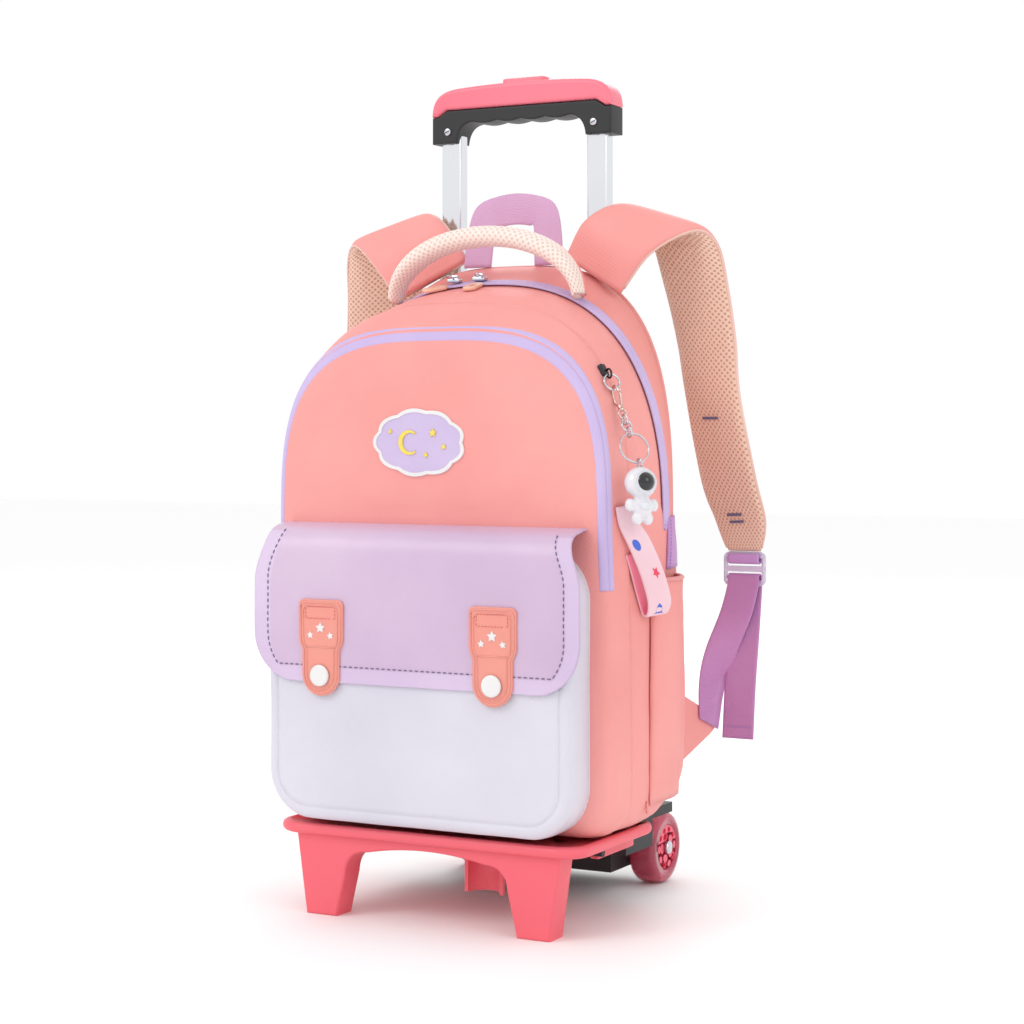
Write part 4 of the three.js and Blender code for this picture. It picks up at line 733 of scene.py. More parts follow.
def fine_relief(tree, shader, scale=700.0, strength=0.12, distance=0.0003):
    """Fine grain of a moulded or cast surface."""
    place = tree.nodes.new("ShaderNodeTexCoord")
    bump = tree.nodes.new("ShaderNodeBump")
    bump.inputs["Strength"].default_value = strength
    bump.inputs["Distance"].default_value = distance
    tree.links.new(noise_node(tree, place.outputs["Object"], scale), bump.inputs["Height"])
    tree.links.new(bump.outputs["Normal"], shader.inputs["Normal"])


uneven_colour(rubber_tree, rubber_shader, "E8988A", "E08C7E", rough=(0.38, 0.5))
fine_relief(rubber_tree, rubber_shader)
white_plastic, plastic_tree, plastic_shader = new_material("white_plastic", Roughness=0.2, Coat_Weight=0.4)
uneven_colour(plastic_tree, plastic_shader, "E6E4E4", "DCDADA", rough=(0.16, 0.26))
fine_relief(plastic_tree, plastic_shader, 200.0, 0.04)


def cut_plate(name, outlines, front_y, deep, material, bevel=0.6, body="bag", resolution=2):
    """Plate in the front plane: outlines of x and z, the first outer and the rest holes or islands."""
    curve = bpy.data.curves.new(name, "CURVE")
    curve.dimensions = "2D"
    curve.fill_mode = "BOTH"
    for outline in outlines:
        spline = curve.splines.new("POLY")
        spline.points.add(len(outline) - 1)
        for point, (x, z) in zip(spline.points, outline):
            point.co = (x / 1000, z / 1000, 0, 1)
        spline.use_cyclic_u = True
    curve.extrude = (deep / 2 - bevel) / 1000
    curve.bevel_depth = bevel / 1000
    curve.bevel_resolution = resolution
    curve.offset = -bevel / 1000
    holder = bpy.data.objects.new(name + "_curve", curve)
    bpy.context.scene.collection.objects.link(holder)
    depsgraph = bpy.context.evaluated_depsgraph_get()
    mesh = bpy.data.meshes.new_from_object(holder.evaluated_get(depsgraph))
    bpy.data.objects.remove(holder)
    mesh.materials.clear()
    mesh.materials.append(material)
    mesh.transform(Matrix.Translation((0, (front_y + frame_shift) / 1000, 0))
                   @ Matrix.Rotation(math.pi / 2, 4, "X"))
    mesh.shade_smooth()
    mesh.set_sharp_from_angle(angle=math.radians(40))
    mesh.name = name
    piece = bpy.data.objects.new(name, mesh)
    bpy.context.scene.collection.objects.link(piece)
    if body:
        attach(piece, body)
    return piece


def tab_outline(inset=0.0):
    """Outline of a closing tab about its own middle line, its top at 0."""
    half, neck, shoulder, long = 19 - inset, 16 - inset, -33.0, -70 + inset
    top = -inset
    a = np.linspace(0, -math.pi, 25)
    tip = np.stack([neck * np.cos(a), long + neck + neck * np.sin(a)], 1)
    corner = np.array([(half - 4, top), (half - 1.2, top - 1.2), (half, top - 4)])
    right = np.concatenate([corner,
                            [(half, shoulder + 4), (half - 0.8, shoulder + 1), (neck, shoulder - 4)]])
    left = right[::-1] * [-1, 1]
    return np.concatenate([right, tip, left])


def star_outline(radius, turn=0.0):
    """Five-pointed star with soft tips."""
    a = turn + math.pi / 2 + np.arange(10) * math.pi / 5
    r = radius * np.where(np.arange(10) % 2 == 0, 1, 0.5)
    return np.stack([r * np.cos(a), r * np.sin(a)], 1)


tab_face = flap_face - 2.4 - 0.4
tab_top = bag_floor + 166
for name, side in (("left", -1), ("right", 1)):
    tab_x = -4 + side * 0.53 * 134
    at = np.array([tab_x, tab_top])
    tab = cut_plate(f"closing_tab_{name}", [tab_outline() + at], tab_face - 1.5, 2.6, peach_rubber, 0.9)
    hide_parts(f"tab_{name}")
    for inset, radius in ((1.9, 0.75), (4.4, 0.5)):
        line = tab_outline(inset) + at
        path = np.stack([line[:, 0], np.full(len(line), tab_face - 2.85), line[:, 1]], 1)
        tube_piece(f"tab_rib_{name}_{int(inset)}", path, radius, peach_rubber, closed=True)
    cross = np.array([(tab_x - 13, tab_face - 2.85, tab_top - 34.5),
                      (tab_x + 13, tab_face - 2.85, tab_top - 34.5)])
    tube_piece(f"tab_cross_{name}", cross, 0.6, peach_rubber)
    block = rounded_box(25, 8.5, 1.5) + [tab_x, tab_top - 9.5]
    block = np.stack([block[:, 0], np.full(len(block), tab_face - 2.8), block[:, 1]], 1)
    stitch_row(f"tab_stitches_{name}", block, np.tile([0, -1, 0], (len(block), 1)), coral_thread, pitch=2.6,
               length=2.1, radius=0.3)
    for k, (sx, sz, size) in enumerate(((0, -20.5, 4.2), (-8.6, -26, 2.9), (8.6, -26, 2.9))):
        star = star_outline(size, 0.1 * k) + at + [sx, sz]
        star_piece = cut_plate(f"tab_star_{name}_{k}", [star], tab_face - 2.9, 0.8, white_plastic, 0.2)
    turned = np.linspace(0, 2 * math.pi, 40, endpoint=False)
    profile = ((7.8, 0.0), (7.9, -0.9), (7.5, -1.6), (6.5, -1.95), (4.6, -1.75), (2.0, -1.6), (0.5, -1.6))
    snap_rings = np.stack([
        np.stack([tab_x + r * np.cos(turned), np.full(40, tab_face - 3.4 + d),
                  tab_top - 55 + r * np.sin(turned)], 1) for r, d in profile
    ])
    snap = cloth_piece(f"snap_cap_{name}", snap_rings, white_plastic, wrap=True, ends="both")
    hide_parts(f"snap_{name}")
    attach(snap, "bag")

# Cloud badge: a soft moulded patch on the upper door, lilac with a pale raised rim, and a small
# yellow crescent and stars standing on it.
lilac_rubber, rubber_tree, rubber_shader = new_material("lilac_rubber", Roughness=0.42,
                                                        Subsurface_Weight=0.1)
uneven_colour(rubber_tree, rubber_shader, "D4BEDE", "C8B0D6", rough=(0.36, 0.5))
fine_relief(rubber_tree, rubber_shader)
yellow_rubber, rubber_tree, rubber_shader = new_material("yellow_rubber", Roughness=0.4)
uneven_colour(rubber_tree, rubber_shader, "F0DA66", "E6CC50", rough=(0.36, 0.5))
fine_relief(rubber_tree, rubber_shader)
badge_x, badge_z = -9.0, bag_floor + 280


def cloud_outline(inset=0.0):
    """Puffed edge of the badge."""
    a = np.linspace(0, 2 * math.pi, 181)[:-1]
    edge = 0.93 + 0.07 * np.abs(np.sin(a * 4.5))
    return np.stack([(39 - inset) * edge * np.cos(a), (25 - inset) * edge * np.sin(a)], 1)


def on_door(piece, lift):
    """Bends a flat piece onto the door's swell, lift in front of it."""
    for vertex in piece.data.vertices:
        vertex.co.y += (door_y(vertex.co.x * 1000, vertex.co.z * 1000) - lift) / 1000
    return piece


def badge_layer(name, outlines, front_y, deep, material, bevel=0.5):
    """One moulded layer of the badge."""
    placed = [outline + [badge_x, badge_z] for outline in outlines]
    return on_door(cut_plate(name, placed, front_y, deep, material, bevel), 1.1)


badge_base = badge_layer("badge_patch", [cloud_outline()], -0.9, 1.8, lilac_rubber, 0.7)
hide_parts("badge")
badge_layer("badge_rim", [cloud_outline(), cloud_outline(3)], -1.9, 1.1, white_plastic, 0.4)
moon = np.linspace(-2.2, 2.2, 30)
crescent = np.concatenate([np.stack([9 * np.cos(moon), 9 * np.sin(moon)], 1),
                           np.stack([3.2 + 7.2 * np.cos(moon[::-1]) * 0.95 - 4.6, 7.0 * np.sin(moon[::-1])],
                                    1)])
badge_layer("badge_crescent", [crescent * [-1, 1] + [-8, 0]], -1.9, 1.0, yellow_rubber, 0.35)
for k, (sx, sz, size) in enumerate(((12, 7, 3.4), (21, -3, 2.4), (6, -9, 2.2), (-24, 8, 2.0))):
    badge_layer(f"badge_star_{k}", [star_outline(size, 0.3 * k) + [sx, sz]], -1.9, 0.9, yellow_rubber, 0.3)

# Bottle pockets: a slack coral panel sewn to each side of the body at its foot and edges, with a
# bound elastic mouth that stands a little open.
def side_patch(side, low, high, from_y, to_y, off_at, steps=(30, 26)):
    """Grid on the bag's side, off_at(t, u) beyond it, with t up and u to the back."""
    grid = np.zeros((*steps, 3))
    for i, t in enumerate(np.linspace(0, 1, steps[0])):
        for j, u in enumerate(np.linspace(0, 1, steps[1])):
            y, z = from_y + (to_y - from_y) * u, low + (high - low) * t
            grid[i, j] = (side * (side_x(y, z) + off_at(t, u)), y, z)
    return grid


def pocket_off(t, u):
    """How far the bottle pocket stands off the side."""
    slack_up = (1 - 8.5 / 9) * (2 * t - 1)
    up = math.sin(math.pi * t) ** 0.6 if t < 0.5 else 1 - slack_up
    crease = 1.3 * math.exp(-((u - 0.62 - 0.12 * t) / 0.05) ** 2) * math.sin(math.pi * min(t * 1.1, 1))
    return 2.6 + 9 * math.sin(math.pi * u) ** 0.6 * up - crease


pink_binding = woven_material("pink_binding", "F0ADAC", "E49696", rough=(0.45, 0.6), yarns=5600.0,
                              relief=0.3)
for name, side in (("left", -1), ("right", 1)):
    bottle = side_patch(side, bag_floor + 20, bag_floor + 182, bag_front + 56, bag_front + 116, pocket_off)
    bottle[..., 0] += side * 0.5 * slack(bottle, 34, 41 + side, (1, 1, 1.4))
    piece = cloth_piece(f"bottle_pocket_{name}", bottle, coral_nylon, thick=1.4)
    if piece.data.polygons[300].normal.x * side < 0:
        piece.data.flip_normals()
    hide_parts(f"side_pocket_{name}")
    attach(piece, "bag")
    mouth = bottle[-1]
    tube_piece(f"bottle_pocket_hem_{name}", mouth - [side * 0.8, 0, 0.4], 1.5, pink_binding, flat=1.2)
    seam = np.array([(side * (side_x(bag_front + 55.3, z) + 0.6), bag_front + 55.3, z)
                     for z in np.linspace(bag_floor + 14, bag_floor + 184, 40)])
    tube_piece(f"gusset_seam_{name}", seam, 0.9, coral_nylon)
    stitch_row(f"gusset_stitches_{name}", seam + [0, -2.2, 0], np.tile([side, 0, 0], (40, 1)), coral_thread)

# Side tabs: a doubled length of ribbed lilac webbing over each end of the main zip, sewn down
# at its edges.
webbing_ribs, ribs_in, ribs_out = group_start(
    "webbing_ribs", [("Ribs", 5200.0), ("Picks", 4200.0)], [("Height", "NodeSocketFloat")],
)
ribs_place = webbing_ribs.nodes.new("ShaderNodeTexCoord")
ribs_split = webbing_ribs.nodes.new("ShaderNodeSeparateXYZ")
webbing_ribs.links.new(ribs_place.outputs["UV"], ribs_split.inputs[0])
ribs_u = math_node(webbing_ribs, "MULTIPLY", ribs_split.outputs[0], ribs_in.outputs["Ribs"])
ribs_v = math_node(webbing_ribs, "MULTIPLY", ribs_split.outputs[1], ribs_in.outputs["Picks"])
ribs_height = math_node(webbing_ribs, "ADD", math_node(webbing_ribs, "SINE", ribs_u),
                        math_node(webbing_ribs, "MULTIPLY", math_node(webbing_ribs, "SINE", ribs_v), 0.6))
webbing_ribs.links.new(ribs_height, ribs_out.inputs["Height"])


def webbing_material(name, light, dark, rough=(0.34, 0.5), sheen=0.3):
    """Ribbed satin webbing: two near colours, ribs along it and picks across it."""
    material, tree, shader = new_material(name, Sheen_Weight=sheen, Sheen_Roughness=0.35)
    shader.inputs["Sheen Tint"].default_value = (*from_hex(light), 1)
    uneven_colour(tree, shader, light, dark, 22.0, rough)
    bump = tree.nodes.new("ShaderNodeBump")
    bump.inputs["Strength"].default_value = 0.35
    bump.inputs["Distance"].default_value = 0.0003
    ribs = group_in(tree, webbing_ribs)
    tree.links.new(ribs.outputs["Height"], bump.inputs["Height"])
    tree.links.new(bump.outputs["Normal"], shader.inputs["Normal"])
    return material


lilac_webbing = webbing_material("lilac_webbing", "C99BD0", "B884C2")
for name, side in (("left", -1), ("right", 1)):
    tab = side_patch(side, bag_floor + 188, bag_floor + 226, bag_front + 82, bag_front + 120,
                     lambda t, u: 2.7 + 0.7 * math.sin(math.pi * t), (14, 24))
    piece = cloth_piece(f"zip_end_tab_{name}", tab, lilac_webbing, thick=1.6)
    if piece.data.polygons[100].normal.x * side < 0:
        piece.data.flip_normals()
    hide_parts(f"side_tab_{name}")
    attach(piece, "bag")
    line = tab[:, 3] + [side * 0.1, 0, 0]
    stitch_row(f"zip_end_stitches_{name}", line, np.tile([side, 0, 0], (len(line), 1)), lilac_thread,
               pitch=2.6, length=2.0)

# Sliders: plated zinc, running on the main zip, each with a link and a soft peach rubber pull
# lying forward.
plated_steel, steel_tree, steel_shader = new_material("plated_steel", Metallic=1.0, Roughness=0.22)
uneven_colour(steel_tree, steel_shader, "D9DBE0", "BFC1C8", rough=(0.16, 0.3))
fine_relief(steel_tree, steel_shader, 420.0, 0.08)
peach_vinyl, vinyl_tree, vinyl_shader = new_material("peach_vinyl", Roughness=0.3, Subsurface_Weight=0.15,
                                                     Subsurface_Scale=0.003, Coat_Weight=0.2)
uneven_colour(vinyl_tree, vinyl_shader, "EFC1A9", "E6AF97", rough=(0.26, 0.4))
fine_relief(vinyl_tree, vinyl_shader)


def block_piece(name, loops, material, body="bag", move=None, ends="both"):
    """Closed piece through loops of points, with an optional matrix in millimetres."""
    loops = np.asarray(loops, float)
    if move is not None:
        m = np.array(move)
        loops = loops @ m[:3, :3].T + m[:3, 3]
    piece = cloth_piece(name, loops, material, wrap=True, ends=ends)
    piece.data.set_sharp_from_angle(angle=math.radians(35))
    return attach(piece, body)


def soft_box(long, wide, tall, edge):
    """Loops of a box with rounded corners and bevelled top and bottom, standing on its origin."""
    levels = ((0, edge), (edge, 0), (tall - edge, 0), (tall - edge * 0.3, edge * 0.3), (tall, edge))
    loops = []
    for z, inset in levels:
        outline = rounded_box(long - 2 * inset, wide - 2 * inset, max(edge * 1.6 - inset, 0.4), 6,
                              edge_steps=4)
        loops.append(np.stack([outline[:, 0], outline[:, 1], np.full(len(outline), z)], 1))
    return loops


def ring_tube(name, centre, normal, way, radius, wire, material, long=1.0, sides=10, steps=40,
              wide=1.0):
    """Ring of wire: its middle, its axis, the way its length runs, and its radii."""
    normal, way = np.asarray(normal, float), np.asarray(way, float)
    normal /= np.linalg.norm(normal)
    way = way - normal * (way @ normal)
    way /= np.linalg.norm(way)
    side = np.cross(way, normal)
    a = np.linspace(0, 2 * np.pi, steps, endpoint=False)
    path = (np.asarray(centre, float) + radius * wide * np.cos(a)[:, None] * side
            + radius * long * np.sin(a)[:, None] * way)
    return tube_piece(name, path, wire, material, closed=True, sides=sides)


for name, side in (("left", -1), ("right", 1)):
    x = -19 + side * 11
    seat = max(top_z(x + a * 5.5, main_zip_y + b * 4) for a in (-1, 1) for b in (-1, 1)) + 2.3
    body = block_piece(f"zip_slider_{name}", soft_box(11, 7, 3.2, 0.8), plated_steel,
                       move=Matrix.Translation((x, main_zip_y, seat)))
    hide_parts(f"slider_{name}")
    block_piece(f"zip_slider_bridge_{name}", soft_box(6.5, 2.2, 2.6, 0.6), plated_steel,
                move=Matrix.Translation((x, main_zip_y, seat + 3.3)))
    drop = main_zip_y - 5.9
    slope = math.atan2(top_z(x, drop) - top_z(x, drop - 20), 20)
    ring_tube(f"zip_link_{name}", (x + side * 1.5, main_zip_y - 3.4, seat + 3.0), (0.2, 0.5, 1),
              (0, -1, 0.4), 2.6, 0.6, plated_steel, long=1.9)
    turn = Matrix.Translation((x + side * 3, drop - 1.5, top_z(x, drop) + 0.9)) @ Matrix.Rotation(slope, 4,
                                                                                                  "X")
    turn = turn @ Matrix.Rotation(side * 0.3 - 0.25, 4, "Z")
    outer = rounded_box(11, 20, 5, 12) + [0, -10]
    hole = rounded_box(4.4, 10.5, 2.1, 8) + [0, -10]
    pull = cut_plate(f"zip_pull_{name}", [outer, hole], 0, 3.0, peach_vinyl, 1.1,
                     body=None)
    flat = Matrix.Rotation(-math.pi / 2, 4, "X") @ Matrix.Translation((0, -frame_shift / 1000, 0))
    lifted = Matrix.Translation((0, 0, 0.0015)) @ flat
    placed = Matrix.Translation((0, frame_shift / 1000, 0)) @ Matrix.Translation(turn.translation / 1000)
    pull.data.transform(placed @ turn.to_3x3().to_4x4() @ lifted)
    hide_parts(f"pull_{name}")
    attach(pull, "bag")

# Grab handle: foam roll in cream spacer mesh, here a lighter copy of it as painted light on the lit top, a
# coral strip along its back, its ends flattened to sewn points on the bag's top.
# Spacer mesh cells: Hole marks the open cells, which the mesh materials colour darker as painted shade, and
# Height sinks them.
air_mesh, mesh_in, mesh_out = group_start(
    "air_mesh", [("Pitch", 0.0030)], [("Hole", "NodeSocketFloat"), ("Height", "NodeSocketFloat")],
)
mesh_place = air_mesh.nodes.new("ShaderNodeTexCoord")
mesh_turn = air_mesh.nodes.new("ShaderNodeMapping")
mesh_turn.inputs["Rotation"].default_value = (0, 0, math.pi / 4)
mesh_cell = air_mesh.nodes.new("ShaderNodeTexVoronoi")
mesh_cell.voronoi_dimensions = "2D"
mesh_cell.inputs["Randomness"].default_value = 0.06
air_mesh.links.new(mesh_place.outputs["UV"], mesh_turn.inputs["Vector"])
air_mesh.links.new(mesh_turn.outputs["Vector"], mesh_cell.inputs["Vector"])
air_mesh.links.new(math_node(air_mesh, "DIVIDE", 1.0, mesh_in.outputs["Pitch"]), mesh_cell.inputs["Scale"])
mesh_edge = air_mesh.nodes.new("ShaderNodeMapRange")
mesh_edge.interpolation_type = "SMOOTHSTEP"
mesh_edge.inputs["From Min"].default_value = 0.18
mesh_edge.inputs["From Max"].default_value = 0.40
mesh_edge.inputs["To Min"].default_value = 1
mesh_edge.inputs["To Max"].default_value = 0
air_mesh.links.new(mesh_cell.outputs["Distance"], mesh_edge.inputs["Value"])
air_mesh.links.new(mesh_edge.outputs[0], mesh_out.inputs["Hole"])
air_mesh.links.new(math_node(air_mesh, "SUBTRACT", 1.0, mesh_edge.outputs[0]), mesh_out.inputs["Height"])


def mesh_material(name, face, hole, pitch=0.0034):
    """Spacer mesh: a knitted face with rows of small open cells, the darker hole colour in them being
    painted shade inside the recessed cells.
    """
    material, tree, shader = new_material(name, Roughness=0.75, Sheen_Weight=0.3, Sheen_Roughness=0.5)
    cells = group_in(tree, air_mesh, Pitch=pitch)
    # Face colour on the knit, hole colour in the open cells: the darker hole colour is painted shade in the
    # recesses.
    blend = tree.nodes.new("ShaderNodeMix")
    blend.data_type = "RGBA"
    blend.inputs["A"].default_value = (*from_hex(face), 1)
    blend.inputs["B"].default_value = (*from_hex(hole), 1)
    tree.links.new(cells.outputs["Hole"], blend.inputs["Factor"])
    tree.links.new(blend.outputs["Result"], shader.inputs["Base Color"])
    place = tree.nodes.new("ShaderNodeTexCoord")
    knit = noise_node(tree, place.outputs["Object"], 1500.0)
    height = math_node(tree, "ADD", cells.outputs["Height"], math_node(tree, "MULTIPLY", knit, 0.25))
    bump = tree.nodes.new("ShaderNodeBump")
    bump.inputs["Strength"].default_value = 0.6
    bump.inputs["Distance"].default_value = 0.0006
    tree.links.new(height, bump.inputs["Height"])
    tree.links.new(bump.outputs["Normal"], shader.inputs["Normal"])
    return material


# The grab handle's mesh is a lighter copy of the one spacer mesh: painted light for the handle's lit top.
# cream_mesh is the plain mesh of the back pads.
grab_mesh_lit = mesh_material("grab_mesh_lit", "F3E2D9", "DFC3B6")
cream_mesh = mesh_material("cream_mesh", "DEB8A8", "C49484")


def inflate(piece, sewn, pressure=4.0, cap=4.0, frames=20):
    """Air pressure on a closed cloth piece whose sewn points stay put, capped and applied."""
    before = np.array([v.co[:] for v in piece.data.vertices])
    piece.vertex_groups.new(name="sewn").add([int(i) for i in sewn], 1.0, "REPLACE")
    cloth = piece.modifiers.new("cloth", "CLOTH")
    cloth.settings.vertex_group_mass = "sewn"
    cloth.settings.use_pressure = True
    cloth.settings.uniform_pressure_force = pressure
    cloth.settings.effector_weights.gravity = 0
    cloth.settings.tension_stiffness = 25
    cloth.settings.compression_stiffness = 12
    cloth.settings.bending_stiffness = 0.6
    cloth.point_cache.frame_start, cloth.point_cache.frame_end = 1, frames
    for step in range(1, frames + 1):
        bpy.context.scene.frame_set(step)
    settle(piece)
    bpy.context.scene.frame_set(1)
    after = np.array([v.co[:] for v in piece.data.vertices])
    moved = after - before
    far = np.linalg.norm(moved, axis=1, keepdims=True)
    moved *= np.minimum(1, cap / 1000 / np.maximum(far, 1e-9))
    piece.data.vertices.foreach_set("co", (before + moved).astype(np.float32).reshape(-1))
    piece.data.update()
    return piece


def rows_through(table, steps):
    """Smooth rows between the rows of a table."""
    table = np.asarray(table, float)
    at = np.linspace(0, len(table) - 1, steps)
    return np.stack([through(np.arange(len(table)), table[:, k], at) for k in range(table.shape[1])], 1)


def strip_frames(rows):
    """Middle, across and out of each row of x, y, z, turn, rise, wide, thick."""
    centre = rows[:, :3]
    along = np.concatenate([centre[1:2] - centre[:1], centre[2:] - centre[:-2],
                            centre[-1:] - centre[-2:-1]])
    along /= np.linalg.norm(along, axis=1, keepdims=True)
    turn, rise = np.radians(rows[:, 3]), np.radians(rows[:, 4])
    across = np.stack([np.cos(turn) * np.cos(rise), np.sin(turn) * np.cos(rise), np.sin(rise)], 1)
    out = np.cross(along, across)
    return centre, across, out / np.linalg.norm(out, axis=1, keepdims=True)


def strip_rings(rows, section):
    """Rings of a strip or pad: section gives places across and out as shares of half width and
    thickness."""
    centre, across, out = strip_frames(rows)
    section = np.asarray(section, float)
    return (centre[:, None] + across[:, None] * section[None, :, :1] * rows[:, None, 5:6] / 2
            + out[:, None] * section[None, :, 1:] * rows[:, None, 6:7] / 2)


def pad_section(count=36, square=0.5, rounding=0.8):
    """Section of a foam pad: wide, softly crowned, its first and middle points on the two sewn edges."""
    a = np.arange(count) / count * 2 * np.pi
    return np.stack([np.sign(np.cos(a)) * np.abs(np.cos(a)) ** square,
                     np.sign(np.sin(a)) * np.abs(np.sin(a)) ** rounding], 1)


flat_section = np.array([(-1, -0.5), (-0.96, -1)] + [(s, -1) for s in np.linspace(-0.8, 0.8, 9)] +
                        [(0.96, -1), (1, -0.5), (1, 0.5), (0.96, 1)] +
                        [(s, 1) for s in np.linspace(0.8, -0.8, 9)] + [(-0.96, 1), (-1, 0.5)])

grab_y, grab_span, grab_rise = bag_front + 74, 158.0, 51.0
grab_a = np.pi * (1 - np.linspace(0, 1, 60))
grab_end = np.abs(np.cos(grab_a)) ** 6
grab_x = grab_span / 2 * np.cos(grab_a)
grab_thick = 17 - 9 * grab_end
grab_seat = np.array([top_z(x, grab_y) for x in grab_x]) + 0.4 + grab_thick / 2 + 4 * grab_end
grab_lift = top_z(grab_span / 2, grab_y) + 4 + grab_rise * np.sin(grab_a) ** 0.9
grab_z = np.maximum(grab_seat, grab_lift)
grab_rows = np.stack([grab_x, np.full(60, grab_y), grab_z, np.full(60, 90.0), np.zeros(60),
                      26 - 7 * grab_end**3, grab_thick * 0.92], 1)
grab_section = pad_section(32, 0.8, 0.9)
grab_grid = strip_rings(grab_rows, grab_section)
grab_piece = cloth_piece(
    "grab_handle_roll", grab_grid, [grab_mesh_lit, coral_nylon], wrap=True, ends="both",
    which=lambda i, j: int(grab_grid[30, j, 1] > grab_y + 5.5 and grab_grid[30, j, 2] > grab_z[30] - 4),
)
inflate(grab_piece, [i for i in range(len(grab_piece.data.vertices)) if i < 96 or i >= 32 * 57], 3.0, 1.5)
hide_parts("grab_handle")
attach(grab_piece, "bag")

# Hanging loop: flat lilac satin webbing between the strap roots, sewn into the top seam at both
# ends.
loop_y = bag_front + 118
loop_table = np.array([
    # along, up, back, rise
    (-1.00, 0.00, 0, 0), (-0.95, 0.40, 2, 12), (-0.82, 0.72, 4, 38), (-0.46, 0.80, 5, 76),
    (0.00, 0.83, 5, 90),
    (0.46, 0.80, 5, 104), (0.82, 0.72, 4, 142), (0.95, 0.40, 2, 168), (1.00, 0.00, 0, 180),
])
loop_seat = top_z(0, loop_y) + 0.4
loop_rows = np.stack([loop_table[:, 0] * 31, loop_y + loop_table[:, 2], loop_seat + loop_table[:, 1] * 54,
                      np.full(9, 180.0), loop_table[:, 3], np.full(9, 24.0), np.full(9, 1.8)], 1)
hang_webbing = webbing_material("hang_webbing", "DBAECF", "CA98C1", rough=(0.26, 0.42))
hang_loop = cloth_piece("hanging_loop", strip_rings(rows_through(loop_rows, 56), flat_section),
                        hang_webbing, wrap=True, ends="both")
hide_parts("hang_loop")
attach(hang_loop, "bag")

# Back panel: foam under the same spacer mesh, its pads parted by shallow channels, bound in coral
# nylon to the body all round.
panel_face = back_rim + 8
panel_insets = np.concatenate([[0, 0.0, 1.0, 3.0, 5.5], np.arange(9, 128, 4)])
panel_spine, panel_follow, panel_end = 78.0, 41, 127
panel = []
for k, inset in enumerate(panel_insets):
    ring = bag_ring(back_rim, min(inset, panel_follow))
    if inset > panel_follow:
        share = (inset - panel_follow) / (panel_end - panel_follow)
        low, high = ring[:, 2].min() + panel_spine, ring[:, 2].max() - panel_spine
        ring[:, 0] *= 1 - share
        ring[:, 2] += (ring[:, 2].clip(low, high) - ring[:, 2]) * share
    if k < 5:
        ring[:, 1] = (back_rim + 0.6, back_rim + 3.5, back_rim + 5.6, back_rim + 6.6, back_rim + 6.2)[k]
    else:
        x, z = ring[:, 0], ring[:, 2]
        channel = np.exp(-((np.abs(x) - 30) / 4.5) ** 2) * (z < 400) + np.exp(-((z - 250)
            / 5) ** 2) * (np.abs(x) > 30)
        ring[:, 1] = panel_face - 0.8 - 2.2 * np.clip(channel, 0,
                                                      1) - 1.2 * math.exp(-((inset - 9) / 4) ** 2)
    panel.append(ring)
panel = np.stack(panel)
panel_piece = cloth_piece("back_pads", panel, [coral_nylon, cream_mesh], wrap=True, ends="both",
                          which=lambda i, j: int(i > 4))
panel_map = panel_piece.data.uv_layers.active.data
for loop in panel_piece.data.loops:
    spot = panel_piece.data.vertices[loop.vertex_index].co
    panel_map[loop.index].uv = (spot.x, spot.z)
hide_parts("back_panel")
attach(panel_piece, "bag")

# Shoulder straps: foam between coral nylon outside and spacer mesh inside, edges sewn under a fine
# piping, three bartacks across the inner face; the root is sewn flat to the bag's top edge.
strap_table = np.array([
    # x, y, z, turn, rise, wide, thick
    (0.361, -0.20, 0.850, -17, -28, 1.00, 0.80), (0.469, -0.20, 0.945, -12, -24, 1.06, 1.00),
    (0.598, 0.05, 1.000, -8, -18, 1.10, 1.00), (0.675, 0.27, 0.945, -12, -13, 1.04, 1.00),
    (0.711, 0.45, 0.792, -17, -3, 0.97, 1.00), (0.740, 0.55, 0.630, -21, 0, 0.94, 1.00),
    (0.761, 0.58, 0.474, -24, 0, 0.92, 1.00), (0.830, 0.58, 0.212, -24, 0, 0.92, 0.95),
    (0.881, 0.57, 0.092, -16, 3, 0.72, 0.80), (0.897, 0.58, 0.000, 0, 0, 0.41, 0.28),
])
strap_width, strap_thick, strap_foot = 64.0, 13.0, bag_floor + 198
back_face = back_rim + 8
strap_rows = np.stack([
    strap_table[:, 0] * 194, back_face + strap_table[:, 1] * 60, strap_foot + strap_table[:, 2] * 250,
    strap_table[:, 3], strap_table[:, 4], strap_table[:, 5] * strap_width, strap_table[:, 6] * strap_thick,
], 1)
strap_rows[0, 2] = (top_z(strap_rows[0, 0], strap_rows[0, 1]) + 0.4 - 3.2
                    + strap_rows[0, 6] / 2 / math.cos(math.radians(strap_rows[0, 4])))
strap_rows = rows_through(strap_rows, 84)
strap_section = pad_section(40, 0.42, 0.62)
pinned_columns = (0, 20)
bartack_rows = (58, 72, 74)
# The straps' spacer mesh is a darker copy of the same mesh: painted shade for the straps' inner faces,
# which lie in shadow.
shaded_peach_mesh = mesh_material("strap_mesh_painted_shade", "E6C3AE", "C4907C")
pale_piping = woven_material("pale_piping", "EBC8BC", "E0B4A8", rough=(0.45, 0.6), yarns=6500.0,
                             relief=0.25)


def mirrored(grid, side):
    """Grid for the right side, or turned over for the left with its columns run back."""
    if side > 0:
        return grid
    return np.concatenate([grid[:, :1], grid[:, 1:][:, ::-1]], 1) * [-1, 1, 1]


